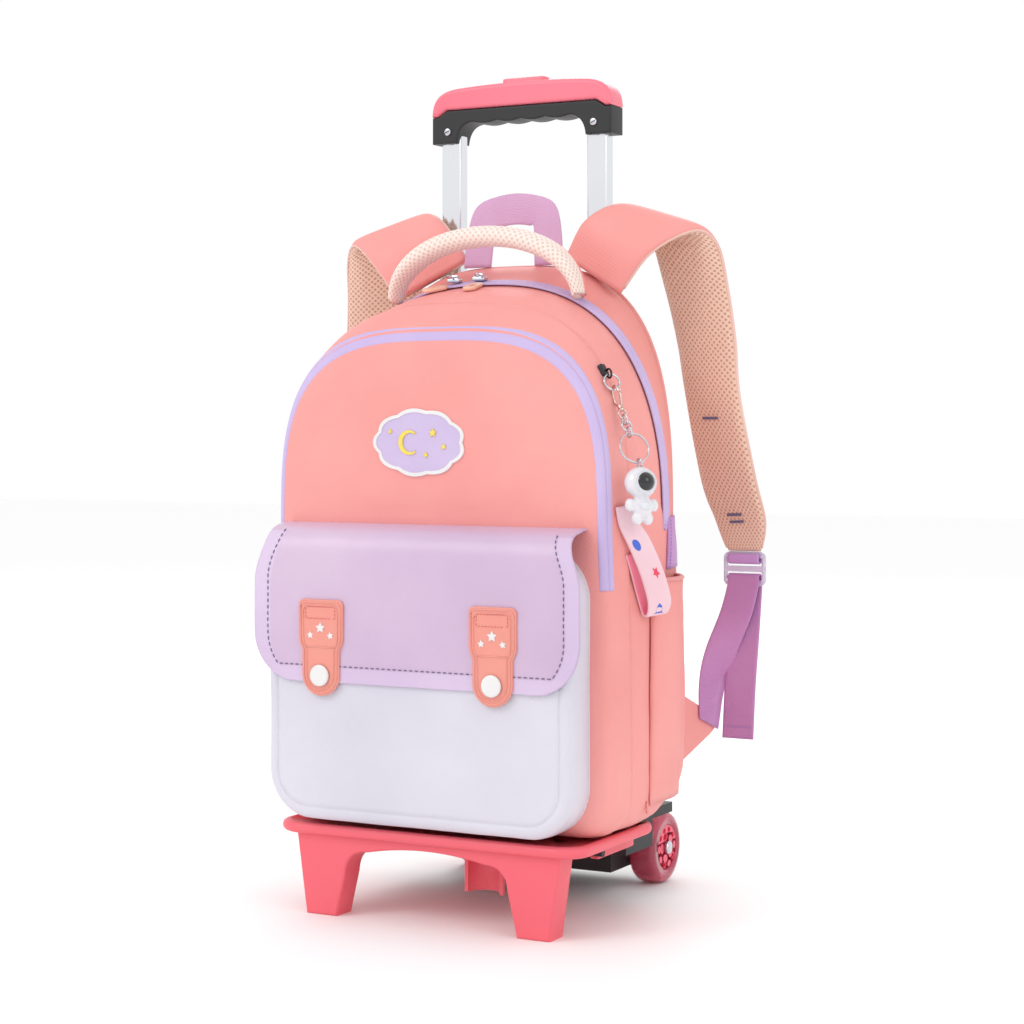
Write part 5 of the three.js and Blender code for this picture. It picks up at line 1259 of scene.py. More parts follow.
for name, side in (("right", 1), ("left", -1)):
    slim = strap_rows.copy()
    slim[:, 6] *= 0.80
    slim[:, 5] *= 0.985
    grid = mirrored(strip_rings(slim, strap_section), side)
    half = 20
    inner_face = (lambda i, j: int(j < half)) if side > 0 else (lambda i, j: int(j >= half))
    strap = cloth_piece(f"strap_pad_{name}", grid, [coral_nylon, shaded_peach_mesh], wrap=True, ends="both",
                        which=inner_face)
    sewn = [i * 40 + j for i in range(84) for j in pinned_columns]
    sewn += list(range(80)) + list(range(40 * 82, 40 * 84 + 2))
    tacked = [i * 40 + j for i in bartack_rows for j in range(6, 15)]
    inflate(strap, sewn + (tacked if side > 0 else [i - i % 40 + (40 - i % 40) % 40 for i in tacked]), 5.0,
            2.2)
    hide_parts(f"shoulder_strap_{name}")
    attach(strap, "bag")
    for column, label in ((0, "outer"), (20, "inner")):
        tube_piece(f"strap_piping_{name}_{label}", grid[1:83, column], 1.1, pale_piping)
    centre, across, out = strip_frames(strap_rows)
    for k, row in enumerate(bartack_rows):
        span = np.linspace(-0.15, 0.15, 7)[:, None] * strap_rows[row, 5]
        path = (centre[row] + across[row] * span + out[row] * strap_rows[row, 6] * 0.47) * [side, 1, 1]
        normal = np.tile(out[row] * [side, 1, 1], (7, 1))
        stitch_row(f"strap_bartack_{name}_{k}", path, normal, dark_thread, pitch=0.9, length=2.2,
                   radius=0.4, across=True)

# Strap ends: a milky two-bar adjuster held by a short band on each strap's foot, and the long
# webbing that comes up from the corner tab, turns round the lower bar and hangs free as a tail.
milky_plastic, milky_tree, milky_shader = new_material(
    "milky_plastic", Roughness=0.16, Transmission_Weight=0.45, Coat_Weight=0.3, IOR=1.46,
)
uneven_colour(milky_tree, milky_shader, "E6DCEE", "DACCE6", rough=(0.12, 0.24))
fine_relief(milky_tree, milky_shader, 240.0, 0.05)
tail_webbing = webbing_material("tail_webbing", "C78DC0", "B273AB")
foot_x, foot_y, foot_z = strap_rows[-1, :3]
adjuster_top = foot_z - 0.4
upper_slot = adjuster_top - 4.6 - 3.1
lower_slot = adjuster_top - 26 + 4.6 + 3.1
hug_y = 2 + 0.4 + 0.75
tab_turn = math.radians(14.5)
tab_root = np.array([133.0, back_face + 0.4, bag_floor + 38])
tab_out = np.array([math.sin(tab_turn), math.cos(tab_turn), 0])
tab_side = np.array([math.cos(tab_turn), -math.sin(tab_turn), 0])
web_foot = tab_root + tab_out * 48 * 0.76 + tab_side * (1.25 + 0.4 + 0.75)
climb = lower_slot - web_foot[2]
webbing_table = np.array([
    (web_foot[0], web_foot[1], web_foot[2] + 28, 75.5, -24),
    (web_foot[0] + 3, web_foot[1] - 1, web_foot[2] + climb * 0.40, 62, -8),
    (web_foot[0] + 12, foot_y - hug_y, web_foot[2] + climb * 0.60, 32, 0),
    (foot_x - 6, foot_y - hug_y, web_foot[2] + climb * 0.80, 8, 0),
    (foot_x, foot_y - hug_y, lower_slot - 6, 0, 0),
    (foot_x, foot_y - hug_y, lower_slot - 1.2, 0, 0),
    (foot_x, foot_y - hug_y * 0.45, lower_slot + 0.9, 0, 0),
    (foot_x, foot_y + hug_y * 0.45, lower_slot + 0.9, 0, 0),
    (foot_x, foot_y + hug_y, lower_slot - 1.2, 0, 0),
    (foot_x, foot_y + hug_y + 0.5, lower_slot - 8, 0, 0),
    (foot_x - 3, foot_y + hug_y + 2, lower_slot - 45, 0, 0),
    (foot_x - 6, foot_y + hug_y + 2, lower_slot - 85, 0, 0),
    (foot_x - 7, foot_y + hug_y, bag_floor + 56, 0, 0),
])
webbing_size = np.tile([25.0, 1.5], (13, 1))
webbing_rows = np.concatenate([webbing_table, webbing_size], 1)
band_table = [(-1, 7), (-1, 1.6), (-0.45, 0), (0.45, 0), (1, 1.6), (1, 7)]
band_rows = np.array([(foot_x, foot_y + a * hug_y, upper_slot - 0.8 + up, 0, 0, 25, 1.5)
                      for a, up in band_table])
corner_outline = np.array([(0, 0), (41.3, 20.2), (46.5, 24), (48, 27), (46, 31), (43.2, 34.7), (0, 56)])
for name, side in (("right", 1), ("left", -1)):
    frame_outline = rounded_box(33, 26, 5, 10) + [side * foot_x, adjuster_top - 13]
    slots = [rounded_box(28, 6.2, 0.8, 4) + [side * foot_x, z] for z in (upper_slot, lower_slot)]
    adjuster = cut_plate(f"strap_adjuster_{name}", [frame_outline, *slots], foot_y, 4.0, milky_plastic, 0.9)
    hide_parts(f"adjuster_{name}")
    band = cloth_piece(f"adjuster_band_{name}",
                       mirrored(strip_rings(rows_through(band_rows, 26), flat_section), side),
                       lilac_webbing, wrap=True, ends="both")
    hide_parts(f"strap_loop_{name}")
    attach(band, "bag")
    web_grid = mirrored(strip_rings(rows_through(webbing_rows, 150), flat_section), side)
    web = cloth_piece(f"strap_webbing_{name}", web_grid, tail_webbing, wrap=True, ends="both")
    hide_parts(f"webbing_{name}")
    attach(web, "bag")
    end_line = np.array([(side * (foot_x - 7 + s), foot_y + hug_y - 0.85, bag_floor + 65)
                         for s in (-11, 0, 11)])
    stitch_row(f"webbing_end_stitches_{name}", end_line, np.tile([0, -1, 0], (3, 1)), lilac_thread,
               pitch=2.4, length=1.9)
    corner = cut_plate(f"corner_gusset_{name}", [corner_outline], 0, 2.5, coral_nylon, 1.0,
                       body=None)
    turn = Matrix.Rotation(math.pi / 2 - tab_turn, 4, "Z")
    base = Matrix.Translation(Vector(tab_root) / 1000 + Vector((0, frame_shift / 1000, 0)))
    corner.data.transform(base @ turn @ Matrix.Translation((0, -frame_shift / 1000, 0)))
    if side < 0:
        corner.data.transform(Matrix.Scale(-1, 4, (1, 0, 0)))
        corner.data.flip_normals()
    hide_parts(f"corner_tab_{name}")
    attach(corner, "bag")

# Trolley sleeve: a coral nylon band across the back, sewn down at its ends and open round both
# tubes.
tube_back = 62 + 13.4 / 2 + 1.6 + 0.4
sleeve_seat = back_face + 0.4 + 1
sleeve_reach = tube_back + 1.4 - sleeve_seat
sleeve_table = np.array([(-1, 0), (-0.86, 0), (-0.76, 0.9), (-0.68, 1), (0, 1), (0.68, 1), (0.76, 0.9),
                         (0.86, 0), (1, 0)])
sleeve_rows = np.array([(along * 103, sleeve_seat + out * sleeve_reach, bag_floor + 232 + 46, 0, 90, 92, 2)
                        for along, out in sleeve_table])
sleeve_grid = strip_rings(rows_through(sleeve_rows, 90), flat_section)
sleeve_piece = cloth_piece("tube_sleeve", sleeve_grid, coral_nylon, wrap=True, ends="both")
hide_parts("trolley_sleeve")
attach(sleeve_piece, "bag")

# Charm: a small gunmetal slider on the side, a steel ring, a lobster clasp, three links and a split
# ring that carry a glossy white vinyl spaceman and a soft printed band.
charm_y, charm_z = -53.0, bag_floor + 330
gunmetal, metal_tree, metal_shader = new_material("gunmetal", Metallic=0.8, Roughness=0.35)
uneven_colour(metal_tree, metal_shader, "4A484C", "333136", rough=(0.28, 0.42))
fine_relief(metal_tree, metal_shader, 420.0, 0.08)
rose_steel, rose_tree, rose_shader = new_material("rose_steel", Metallic=1.0, Roughness=0.2)
uneven_colour(rose_tree, rose_shader, "E4CDC4", "C9AFA6", rough=(0.14, 0.28))
fine_relief(rose_tree, rose_shader, 420.0, 0.08)
white_vinyl, vinyl_tree, vinyl_shader = new_material("white_vinyl", Roughness=0.12, Coat_Weight=0.6,
                                                     Coat_Roughness=0.06, Subsurface_Weight=0.1)
uneven_colour(vinyl_tree, vinyl_shader, "E4E2E6", "DAD7DE", rough=(0.1, 0.2))
fine_relief(vinyl_tree, vinyl_shader, 150.0, 0.03)
black_gloss, gloss_tree, gloss_shader = new_material("black_gloss", Roughness=0.08, Coat_Weight=0.5)
uneven_colour(gloss_tree, gloss_shader, "15151A", "09090C", rough=(0.05, 0.12))
fine_relief(gloss_tree, gloss_shader, 150.0, 0.03)


def unit(v):
    """Vector of length one."""
    v = np.asarray(v, float)
    return v / np.linalg.norm(v)


def square_to(v, way):
    """The part of v square to way, of length one."""
    v, way = np.asarray(v, float), np.asarray(way, float)
    return unit(v - way * (v @ way))


side_slope = math.atan2(side_x(charm_y, charm_z - 6) - side_x(charm_y, charm_z + 6), 12)
side_out = np.array([math.cos(side_slope), 0, math.sin(side_slope)])
side_seat = np.array([side_x(charm_y, charm_z), charm_y, charm_z])
charm_down = unit((0.44, -0.14, -1))
charm_facing = (0.83, -0.56, 0)
charm_outward = square_to(charm_facing, charm_down)
charm_beside = np.cross(charm_down, charm_outward)
wire, bite = 0.8, 2.4
slider_turn = Matrix.Translation(side_seat + side_out * 1.2) @ Matrix.Rotation(math.pi / 2 - side_slope, 4,
                                                                               "Y")
charm_slider = block_piece("charm_slider", soft_box(9, 7, 4, 0.9), gunmetal,
                           move=slider_turn)
eye_at = side_seat + side_out * (1.2 + 4 + 1.6) + charm_down * 4.5
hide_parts("side_slider")
ring_tube("charm_slider_eye", eye_at, charm_beside, charm_down, 3.2, wire, gunmetal)
pull_at = eye_at + charm_down * (3.2 + 6 - bite)
pull_ring = ring_tube("charm_pull_ring", pull_at, charm_outward, charm_down, 6, wire, plated_steel)
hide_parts("side_pull_ring")
clasp_half = 7.5
clasp_at = pull_at + charm_down * (6 + clasp_half - bite)
clasp = ring_tube("clasp_hook", clasp_at, charm_beside, charm_down, 5, 1.0, rose_steel, long=1.5)
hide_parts("lobster_clasp")


def turned_piece(name, base, axis, profile, material, steps=36, body="bag", sharp=30):
    """Piece turned about an axis from its base: profile rows are distance along and radius."""
    axis = unit(axis)
    first = square_to((0.3, 0.2, 0.9) if abs(axis[2]) < 0.8 else (1, 0, 0), axis)
    second = np.cross(axis, first)
    a = np.linspace(0, 2 * np.pi, steps, endpoint=False)
    rings = np.stack([
        np.asarray(base) + axis * along + radius
        * (np.cos(a)[:, None] * first + np.sin(a)[:, None] * second)
        for along, radius in profile
    ])
    piece = cloth_piece(name, rings, material, wrap=True, ends="both")
    piece.data.set_sharp_from_angle(angle=math.radians(sharp))
    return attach(piece, body)


turned_piece("clasp_swivel", clasp_at + charm_down * (clasp_half - 0.6), charm_down,
             [(0, 1.2), (0.4, 1.9), (2.2, 2.2), (2.6, 1.5), (3.1, 2.3), (4.4, 2.0), (4.8, 1.0)], rose_steel)
turned_piece("clasp_lever", clasp_at + charm_outward * 5.6 - charm_down * 1.5,
             charm_outward, [(0, 0.9), (1.4, 0.9), (1.8, 0.5)], rose_steel, steps=16)
swivel_at = clasp_at + charm_down * (clasp_half + 4 + 3.2 - wire)
ring_tube("clasp_eye", swivel_at, charm_outward, charm_down, 3.2, wire, rose_steel)
link_at, link_reach = swivel_at, 3.2
for k in (1, 2, 3):
    link_at = link_at + charm_down * (link_reach + 3.6 - bite)
    link = ring_tube(f"charm_link_{k}", link_at, charm_beside if k % 2 else charm_outward, charm_down, 3.6,
                     0.75, plated_steel)
    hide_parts(f"chain_link_{k}")
    link_reach = 3.6
split_at = link_at + charm_down * (3.6 + 11 - bite)
split_a = np.linspace(0, 4 * np.pi - 0.5, 110)
split_path = (split_at + 11 * np.cos(split_a)[:, None] * np.cross(charm_down, charm_outward)
              + 11 * np.sin(split_a)[:, None] * charm_down
              + (split_a / (2 * np.pi) - 1)[:, None] * 0.95 * charm_outward)
split_ring = tube_piece("key_ring", split_path, 0.52, plated_steel)
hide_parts("split_ring")

hang_way = unit((0.1, -0.1, -1))
figure_face = square_to(charm_facing, hang_way)
figure_side = np.cross(hang_way, figure_face)
figure_eye = split_at + charm_down * (11 + 3.2 - bite)
head_at = figure_eye + hang_way * (3.2 + 11.5 * 0.9)
body_at = head_at + hang_way * 11.5 * 1.45


def ball(radius, stretch, centre, rings=18, steps=28):
    """Points of a ball stretched along figure_side, up and figure_face."""
    rows = []
    for t in np.linspace(0.02, math.pi - 0.02, rings):
        a = np.linspace(0, 2 * np.pi, steps, endpoint=False)
        rows.append(centre + radius * (math.cos(t) * stretch[1] * -hang_way
                                       + math.sin(t) * (np.cos(a)[:, None] * stretch[0] * figure_side
                                                        + np.sin(a)[:, None] * stretch[2] * figure_face)))
    return np.stack(rows)


def ball_piece(name, radius, stretch, centre, material, slot, **counts):
    """Ball as a piece of its own."""
    piece = cloth_piece(name, ball(radius, stretch, centre, **counts), material, wrap=True, ends="both")
    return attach(piece, "bag")


head = 11.5
figure_balls = [(head, (1.04, 0.98, 0.86), head_at), (head * 0.72, (1, 0.95, 0.8), body_at)]
for side in (-1, 1):
    arm = body_at + hang_way * -0.08 * head + figure_side * side * 0.82 * head
    leg = body_at + hang_way * 0.72 * head + figure_side * side * 0.36 * head
    figure_balls += [(head * 0.32, (1, 1.3, 1), arm), (head * 0.36, (1, 1.2, 1), leg)]
figure_mesh = bmesh.new()
for k, (radius, stretch, centre) in enumerate(figure_balls):
    part = cloth_piece(f"figure_part_{k}", ball(radius, stretch, centre), white_vinyl, wrap=True,
                       ends="both")
    figure_mesh.from_mesh(part.data)
    bpy.data.objects.remove(part)
spaceman_mesh = bpy.data.meshes.new("spaceman_body")
figure_mesh.to_mesh(spaceman_mesh)
figure_mesh.free()
spaceman_mesh.materials.append(white_vinyl)
spaceman = bpy.data.objects.new("spaceman_body", spaceman_mesh)
bpy.context.scene.collection.objects.link(spaceman)
melt = spaceman.modifiers.new("melt", "REMESH")
melt.mode = "VOXEL"
melt.voxel_size = 0.0007
smooth = spaceman.modifiers.new("soften", "SMOOTH")
smooth.factor = 0.5
smooth.iterations = 6
settle(spaceman)
spaceman.data.shade_smooth()
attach(spaceman, "bag")
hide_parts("spaceman")
ring_tube("spaceman_eye", figure_eye, np.cross(charm_down, charm_outward), hang_way, 3.2, wire,
          plated_steel)
visor_at = head_at + figure_face * head * 0.42
visor = ball_piece("spaceman_glass", head * 0.78, (0.86, 0.82, 0.76), visor_at, black_gloss,
                   "black_plastic")
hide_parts("spaceman_visor")
rim_a = np.linspace(0, 2 * np.pi, 60, endpoint=False)
rim_path = (head_at + figure_face * head * 0.60
            + head * 0.70 * np.cos(rim_a)[:, None] * figure_side - head * 0.68 * np.sin(rim_a)[:, None]
            * hang_way)
tube_piece("spaceman_visor_rim", rim_path, 0.9, white_vinyl, closed=True)
ball_piece("spaceman_pack", head * 0.3, (1.5, 0.9, 0.5), body_at + figure_face * head * 0.55, white_vinyl,
           "white_plastic", rings=12, steps=20)

charm_drop = 78.0
band_table = np.array([
    # down, back, off, turn, rise
    (0.00, -0.103, 0.064, 76, 6), (0.16, -0.051, 0.083, 58, 8), (0.34, 0.013, 0.147, 36, 10),
    (0.60, 0.128, 0.192, 28, 10), (0.85, 0.231, 0.205, 32, 10), (0.97, 0.282, 0.167, 48, 8),
    (1.00, 0.308, 0.115, 60, 6), (0.96, 0.308, 0.069, 72, 4), (0.80, 0.244, 0.041, 82, 4),
    (0.60, 0.154, 0.036, 84, 4), (0.44, 0.077, 0.033, 86, 4),
])
charm_rows = []
for down, back, off, turn, rise in band_table:
    y, z = charm_y + back * charm_drop, body_at[2] - down * charm_drop
    charm_rows.append((side_x(y, z) + off * charm_drop, y, z, turn, rise, 17, 2.2))
charm_rows = rows_through(charm_rows, 90)
band_white, band_tree, band_shader = new_material("band_white", Roughness=0.35, Coat_Weight=0.15)
uneven_colour(band_tree, band_shader, "F0D2D9", "E8C0CC", rough=(0.3, 0.45))
fine_relief(band_tree, band_shader, 500.0, 0.1)
band_pink, band_tree, band_shader = new_material("band_pink", Roughness=0.35, Coat_Weight=0.15)
uneven_colour(band_tree, band_shader, "EE7492", "E66484", rough=(0.3, 0.45))
fine_relief(band_tree, band_shader, 500.0, 0.1)
charm_grid = strip_rings(charm_rows, flat_section)
charm_band = cloth_piece("charm_strap", charm_grid, [band_white, band_pink], wrap=True, ends="both",
                         which=lambda i, j: int(j < 12))
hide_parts("charm_band")
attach(charm_band, "bag")
centre, across, out = strip_frames(charm_rows)
blue_print, print_tree, print_shader = new_material("blue_print", Roughness=0.4)
uneven_colour(print_tree, print_shader, "4C6FD8", "3F5FC4", rough=(0.35, 0.5))
fine_relief(print_tree, print_shader, 500.0, 0.08)
red_print, print_tree, print_shader = new_material("red_print", Roughness=0.4)
uneven_colour(print_tree, print_shader, "F0506A", "E0405C", rough=(0.35, 0.5))
fine_relief(print_tree, print_shader, 500.0, 0.08)


def band_motif(name, row, shift, outline, material):
    """Printed motif lying on the charm's band, its outline given about its middle in millimetres."""
    points = []
    face = -out if (out[row] @ np.array(charm_facing)) < 0 else out
    for lift in (1.02, 1.22):
        for a, b in outline:
            ring_share = np.clip(row + b / 1.3, 0, 88)
            i = int(ring_share)
            t = ring_share - i
            c = centre[i] * (1 - t) + centre[i + 1] * t
            points.append(c + across[i] * (a + shift) + face[i] * lift)
    n = len(outline)
    faces = [tuple(range(n))[::-1], tuple(range(n, 2 * n))]
    faces += [(k, (k + 1) % n, n + (k + 1) % n, n + k) for k in range(n)]
    piece = mesh_piece(name, np.array(points), faces, material, sharp=30)
    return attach(piece, "bag")


rocket = [(0, 6), (1.8, 3.4), (2.3, 0), (2.3, -3), (3.9, -5), (1.4, -4.2), (0, -4.6), (-1.4, -4.2),
          (-3.9, -5), (-2.3, -3), (-2.3, 0), (-1.8, 3.4)]
band_motif("band_rocket", 42, 0, [(a, -b) for a, b in rocket], blue_print)
band_motif("band_star_1", 27, 3, star_outline(2.6), red_print)
band_motif("band_star_2", 54, -3, star_outline(2.6, 0.4), red_print)
planet = np.stack([2.6 * np.cos(np.linspace(0, 2 * np.pi, 24, endpoint=False)),
                   2.6 * np.sin(np.linspace(0, 2 * np.pi, 24, endpoint=False))], 1)
band_motif("band_planet", 18, -2.5, planet, blue_print)

# Base plate: one pink satin moulding with two front legs joined by an arch, two rails beneath and a
# half-round clip that steadies the handle's foot; its upper edge is rolled.
pink_plastic, pink_tree, pink_shader = new_material("pink_plastic", Roughness=0.38, Subsurface_Weight=0.05,
                                                    Subsurface_Scale=0.004)
uneven_colour(pink_tree, pink_shader, "EE6672", "E85E6C", 12.0, rough=(0.34, 0.44))
fine_relief(pink_tree, pink_shader, 900.0, 0.1)
plate_top = bag_floor - 0.4
plate_low = plate_top - 8.6
plate_back = 35.0
plate_middle, plate_deep = (plate_front + plate_back) / 2, plate_back - plate_front


def plate_ring(z, inset):
    """Outline of the base plate at height z."""
    outline = rounded_box(254 - 2 * inset, plate_deep - 2 * inset, 20 - inset * 0.5, 16)
    return np.stack([outline[:, 0], outline[:, 1] + plate_middle, np.full(len(outline), z)], 1)


board_profile = [(plate_low, 60), (plate_low, 6), (plate_low + 0.2, 3.2), (plate_low + 1.0, 1.4),
                 (plate_low + 2.4, 0.3), (plate_low + 4, 0), (plate_top - 3.4, 0), (plate_top - 1.4, 0.6),
                 (plate_top - 0.3, 2.0), (plate_top, 3.6), (plate_top, 5), (plate_top - 1.6, 6.4),
                 (plate_top - 1.6, 60)]
board = np.stack([plate_ring(z, inset) for z, inset in board_profile])
board_piece = cloth_piece("base_board", board, pink_plastic, wrap=True, ends="both")
board_piece.data.set_sharp_from_angle(angle=math.radians(50))
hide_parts("base_plate")
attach(board_piece, "bag")


def bezier(p0, p1, p2, steps=14):
    """Points along a quadratic curve, its first left out."""
    t = np.linspace(0, 1, steps + 1)[1:, None]
    p0, p1, p2 = (np.asarray(p, float) for p in (p0, p1, p2))
    return (1 - t) ** 2 * p0 + 2 * t * (1 - t) * p1 + t**2 * p2


leg_middle, arch_side, arch_top, arch_corner = 88.0, 88 - 21.5, 49.0, 18.0
leg_line = [(-leg_middle - 13, 0.0), (-leg_middle + 13, 0.0), (-arch_side - 1, arch_top - arch_corner)]
leg_line += list(bezier(leg_line[-1], (-arch_side, arch_top), (-arch_side + arch_corner, arch_top)))
leg_line += list(bezier(leg_line[-1], (0, arch_top + 10), (arch_side - arch_corner, arch_top), 24))
leg_line += list(bezier(leg_line[-1], (arch_side, arch_top), (arch_side + 1, arch_top - arch_corner)))
leg_line += [(leg_middle - 13, 0.0), (leg_middle + 13, 0.0), (leg_middle + 21.5, plate_low + 1),
             (-leg_middle - 21.5, plate_low + 1)]
legs = cut_plate("front_legs", [np.array(leg_line)], -95 + 11, 22, pink_plastic, 1.8,
                 resolution=4)
legs.data.materials.clear()
legs.data.materials.append(pink_plastic)
for side, name in ((-1, "left"), (1, "right")):
    rail = soft_box(plate_back - 3 + 28, 8, 12, 1.0)
    block_piece(f"base_rail_{name}", rail, pink_plastic,
                move=Matrix.Translation((side * 103, (plate_back - 3 - 28) / 2, plate_low - 12))
                @ Matrix.Rotation(math.pi / 2, 4, "Z"))
clip_a = np.radians(90 - 85 + 170 * np.linspace(0, 1, 40))
clip_wall = []
for z, thin in ((0, 0.5), (0.6, 0), (38, 0)):
    outer = np.stack([30 + (16 - thin) * np.cos(clip_a), -62 + (16 - thin) * np.sin(clip_a)], 1)
    clip_inside = np.stack([30 + (13 + thin) * np.cos(clip_a[::-1]),
                            -62 + (13 + thin) * np.sin(clip_a[::-1])], 1)
    loop = np.concatenate([outer, clip_inside])
    clip_wall.append(np.concatenate([loop, np.full((80, 1), plate_low - 38 + z)], 1))
clip_faces = [(i * 80 + j, i * 80 + (j + 1) % 80, (i + 1) * 80 + (j + 1) % 80, (i + 1) * 80 + j)
              for i in range(2) for j in range(80)]
clip_faces += [(j + 1, j, 79 - j, 78 - j) for j in range(39)]
clip_piece = mesh_piece("base_clip", np.concatenate(clip_wall), clip_faces, pink_plastic, sharp=40)
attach(clip_piece, "bag")

# Rear housing: one black moulding, matt, with sockets for the tubes, wings over the plate's back
# corners, a beam for the axle and two stay rods under the plate.
black_plastic, plastic_tree, plastic_shader = new_material("black_plastic", Roughness=0.5)
uneven_colour(plastic_tree, plastic_shader, "222224", "17171A", 18.0, rough=(0.42, 0.58))
fine_relief(plastic_tree, plastic_shader, 1500.0, 0.18)

housing = bpy.data.objects["rear_housing"]
for place in housing.material_slots:
    place.material = black_plastic
if not housing.material_slots:
    housing.data.materials.append(black_plastic)

# Wheels: moulded pink hubs with two rings of holes, and half-clear ribbed tyres cast round
# them.
clear_tyre, tyre_tree, tyre_shader = new_material(
    "clear_tyre", Roughness=0.14, Transmission_Weight=0.55, IOR=1.45, Coat_Weight=0.3,
)
uneven_colour(tyre_tree, tyre_shader, "E4607C", "CC4562", 30.0, rough=(0.1, 0.2))
fine_relief(tyre_tree, tyre_shader, 300.0, 0.06)
hub_pink, hub_tree, hub_shader = new_material("hub_pink", Roughness=0.3, Coat_Weight=0.2)
uneven_colour(hub_tree, hub_shader, "F0506E", "E84462", 18.0, rough=(0.24, 0.36))
fine_relief(hub_tree, hub_shader, 700.0, 0.08)
wheel_y, wheel_z, hub_radius = 130.0, 28.0, 17.5
hub_a = np.linspace(0, 2 * np.pi, 72, endpoint=False)
hub_holes = []
for count, ring_share, size, turn in ((10, 0.80, 0.105, 0), (5, 0.50, 0.150, 0.5)):
    for i in range(count):
        a = (i + turn) / count * 2 * math.pi
        b = np.linspace(0, 2 * np.pi, 18, endpoint=False)
        oval = np.stack([1.35 * np.cos(b), np.sin(b)], 1) * size * hub_radius
        c, s = math.cos(a + math.pi / 2), math.sin(a + math.pi / 2)
        oval = oval @ np.array([[c, s], [-s, c]])
        hub_holes.append(oval + hub_radius * ring_share * np.array([math.cos(a), math.sin(a)]))
bore = np.stack([4.3 * np.cos(hub_a[::3]), 4.3 * np.sin(hub_a[::3])], 1)
for name, side in (("left", -1), ("right", 1)):
    body = f"wheel_{name}"
    disc = np.stack([hub_radius * np.cos(hub_a), hub_radius * np.sin(hub_a)], 1)
    hub = cut_plate(f"wheel_hub_{name}", [disc, *hub_holes, bore], 0, 21, hub_pink, 0.5,
                    body=None)
    to_axle = Matrix.Translation((side * 0.079, (wheel_y + frame_shift) / 1000, wheel_z / 1000))
    hub.data.transform(to_axle @ Matrix.Rotation(math.pi / 2, 4, "Z")
                       @ Matrix.Translation((0, -frame_shift / 1000, 0)))
    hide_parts(f"hub_{name}")
    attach(hub, body)
    profile = [(-11, hub_radius + 0.4), (-11, 23), (-10.2, 25.8), (-8.2, 27.3), (-5.2, 27.9), (0, 28),
               (5.2, 27.9), (8.2, 27.3), (10.2, 25.8), (11, 23), (11, hub_radius + 0.4)]
    profile = [(float(a), float(r)) for a, r in profile]
    angle = np.linspace(0, 2 * np.pi, 144, endpoint=False)
    rings = []
    for tyre_across, radius in profile + [profile[0]]:
        rib = 0.22 * (np.cos(angle * 36) > 0.2) * (radius > 25)
        r = radius - rib
        rings.append(np.stack([np.full(144, side * 79 + tyre_across), wheel_y + r * np.cos(angle),
                               wheel_z + r * np.sin(angle)], 1))
    tyre = cloth_piece(f"wheel_tyre_{name}", np.stack(rings), clear_tyre, wrap=True)
    join = tyre.modifiers.new("close", "WELD")
    join.merge_threshold = 0.00002
    settle(tyre)
    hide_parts(f"tyre_{name}")
    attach(tyre, body)

# Axle: a plated steel rod through the housing and both hubs, with a domed cap pressed on
# outside each.
axle = turned_piece("axle_rod", (-90.6, wheel_y, wheel_z), (1, 0, 0), [
    (-2.0, 3.6), (-1.7, 4.6), (-1.0, 5.2), (-0.1, 5.2), (0, 3.9), (181.2, 3.9), (181.3, 5.2), (182.2, 5.2),
    (182.9, 4.6), (183.2, 3.6),
], plated_steel)
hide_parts("axle")

# Telescopic tubes: polished anodised aluminium, an outer pair in the housing and an inner pair up
# to the handle, each with a drawn corner radius and a grooved face.
bright_tube, tube_tree, tube_shader = new_material("bright_tube", Metallic=1.0, Roughness=0.2,
                                                   Anisotropic=0.4)
uneven_colour(tube_tree, tube_shader, "ECEDF0", "DADCE0", 6.0, rough=(0.16, 0.26))
tube_place = tube_tree.nodes.new("ShaderNodeTexCoord")
tube_stretch = tube_tree.nodes.new("ShaderNodeMapping")
tube_stretch.inputs["Scale"].default_value = (900, 900, 12)
tube_tree.links.new(tube_place.outputs["Object"], tube_stretch.inputs["Vector"])
tube_bump = tube_tree.nodes.new("ShaderNodeBump")
tube_bump.inputs["Strength"].default_value = 0.08
tube_bump.inputs["Distance"].default_value = 0.0002
tube_tree.links.new(noise_node(tube_tree, tube_stretch.outputs["Vector"], 1.0), tube_bump.inputs["Height"])
tube_tree.links.new(tube_bump.outputs["Normal"], tube_shader.inputs["Normal"])


def tube_outline(grow, groove=0.0):
    """Section of a tube, with a shallow groove down its front and back faces."""
    points = rounded_box(17.6 + 2 * grow, 13.4 + 2 * grow, 3 + grow, 9, edge_steps=13)
    dent = groove * np.exp(-(points[:, 0] / 2.0) ** 4) * np.sign(points[:, 1])
    return np.stack([points[:, 0], points[:, 1] - dent], 1)


tube_x, tube_y = 64, 62
for name, side in (("left", -1), ("right", 1)):
    for label, outer, wall, low, high, body in (
        ("outer", 2.0, 1.6, 44.4, 478, "bag"), ("inner", 0, 1.3, 100, 597, "handle"),
    ):
        rings = []
        for z in (low, low + 0.5, *np.linspace(low + 20, high - 4, 8), high):
            section = tube_outline(outer, 0.5) + [side * tube_x, tube_y]
            rings.append(np.concatenate([section, np.full((len(section), 1), z)], 1))
        for z in (high, low):
            section = tube_outline(outer - wall) + [side * tube_x, tube_y]
            rings.append(np.concatenate([section, np.full((len(section), 1), z)], 1))
        rings.append(rings[0])
        pipe = cloth_piece(f"{label}_pipe_{name}", np.stack(rings), bright_tube, wrap=True)
        weld = pipe.modifiers.new("close", "WELD")
        weld.merge_threshold = 0.00002
        settle(pipe)
        pipe.data.set_sharp_from_angle(angle=math.radians(50))
        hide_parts(f"{label}_tube_{name}")
        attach(pipe, body)

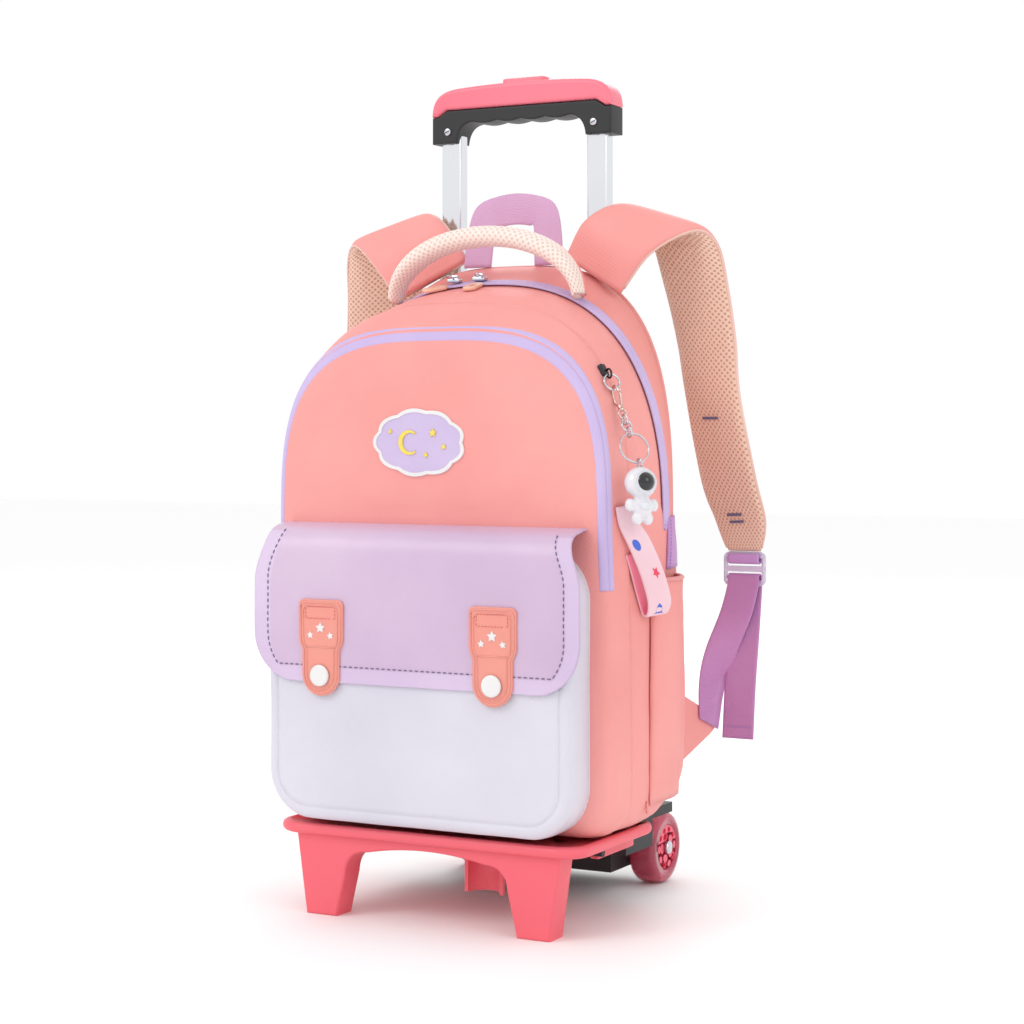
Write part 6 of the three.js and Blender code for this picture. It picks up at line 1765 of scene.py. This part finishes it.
# Handle: a black grip with four finger waves over sockets for the tubes, a pink cover snapped on
# top, the release button in its middle and two slotted screws.
handle_half = 78.5
handle_bottom, bar_low, bar_high = 583.0, 599.0, 609.0
socket_in = handle_half - 22
lip_high = 604.0
wave_half = socket_in - 14
wave_at = np.linspace(0, 1, 65)[1:]
grip_line = [(-handle_half, handle_bottom), (-socket_in, handle_bottom)]
grip_line += list(bezier(grip_line[-1], (-socket_in + 1.5, bar_low - 1), (-socket_in + 14, bar_low), 10))
grip_line += [(-wave_half + 2 * wave_half * s, bar_low - 1.6 * abs(math.sin(s * 4 * math.pi)))
              for s in wave_at]
grip_line += list(bezier(grip_line[-1], (socket_in - 1.5, bar_low - 1), (socket_in, handle_bottom), 10))
grip_line += [(handle_half, handle_bottom), (handle_half, lip_high), (handle_half - 5, lip_high),
              (handle_half - 13, bar_high), (-handle_half + 13, bar_high), (-handle_half + 5, lip_high),
              (-handle_half, lip_high)]
grip = cut_plate("grip_bar", [np.array(grip_line)], 62, 22, black_plastic, 1.6,
                 body="handle", resolution=4)
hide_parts("handle_grip")


def cubic(p0, p1, p2, p3, steps=16):
    """Points along a cubic curve, its first left out."""
    t = np.linspace(0, 1, steps + 1)[1:, None]
    p0, p1, p2, p3 = (np.asarray(p, float) for p in (p0, p1, p2, p3))
    return (1 - t) ** 3 * p0 + 3 * t * (1 - t) ** 2 * p1 + 3 * t**2 * (1 - t) * p2 + t**3 * p3


cover_half = handle_half + 0.4
cover_line = [(-cover_half, lip_high + 0.4), (-handle_half + 5, lip_high + 0.4),
              (-handle_half + 13, bar_high + 0.4),
              (handle_half - 13, bar_high + 0.4), (handle_half - 5, lip_high + 0.4),
              (cover_half, lip_high + 0.4)]
cover_line += list(cubic(cover_line[-1], (cover_half, 620), (cover_half - 9, 625), (cover_half - 24, 626)))
cover_line += list(bezier(cover_line[-1], (0, 629.5), (-cover_half + 24, 626), 24))
cover_line += list(cubic(cover_line[-1], (-cover_half + 9, 625), (-cover_half, 620),
                         (-cover_half, lip_high + 0.4)))[:-1]
cover_plastic, cover_tree, cover_shader = new_material("cover_pink", Roughness=0.34, Subsurface_Weight=0.06,
                                                       Subsurface_Scale=0.004)
uneven_colour(cover_tree, cover_shader, "EE7C8C", "E87082", 14.0, rough=(0.3, 0.42))
fine_relief(cover_tree, cover_shader, 900.0, 0.1)
cover = cut_plate("grip_cover", [np.array(cover_line)], 62, 24, cover_plastic, 3.2,
                  body="handle", resolution=6)
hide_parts("handle_cover")
button = block_piece("release_key", soft_box(37, 11, 11.2, 1.5), cover_plastic,
                     body="button", move=Matrix.Translation((0, 62, 620.4)))
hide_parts("release_button")
for name, side in (("left", -1), ("right", 1)):
    screw = turned_piece(f"grip_screw_{name}", (side * 64, 62 - 11 - 0.4, 592), (0, -1, 0),
                         [(0, 2.8), (0.7, 2.8), (1.05, 2.4), (1.2, 1.6)], plated_steel,
                         body="handle")
    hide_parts(f"screw_{name}")
    slot_line = np.array([(side * tube_x - 1.8, tube_y - 12.65, 591.2),
                          (side * tube_x + 1.8, tube_y - 12.65, 592.8)])
    tube_piece(f"grip_screw_slot_{name}", slot_line, 0.35, black_plastic, sides=6, body="handle")
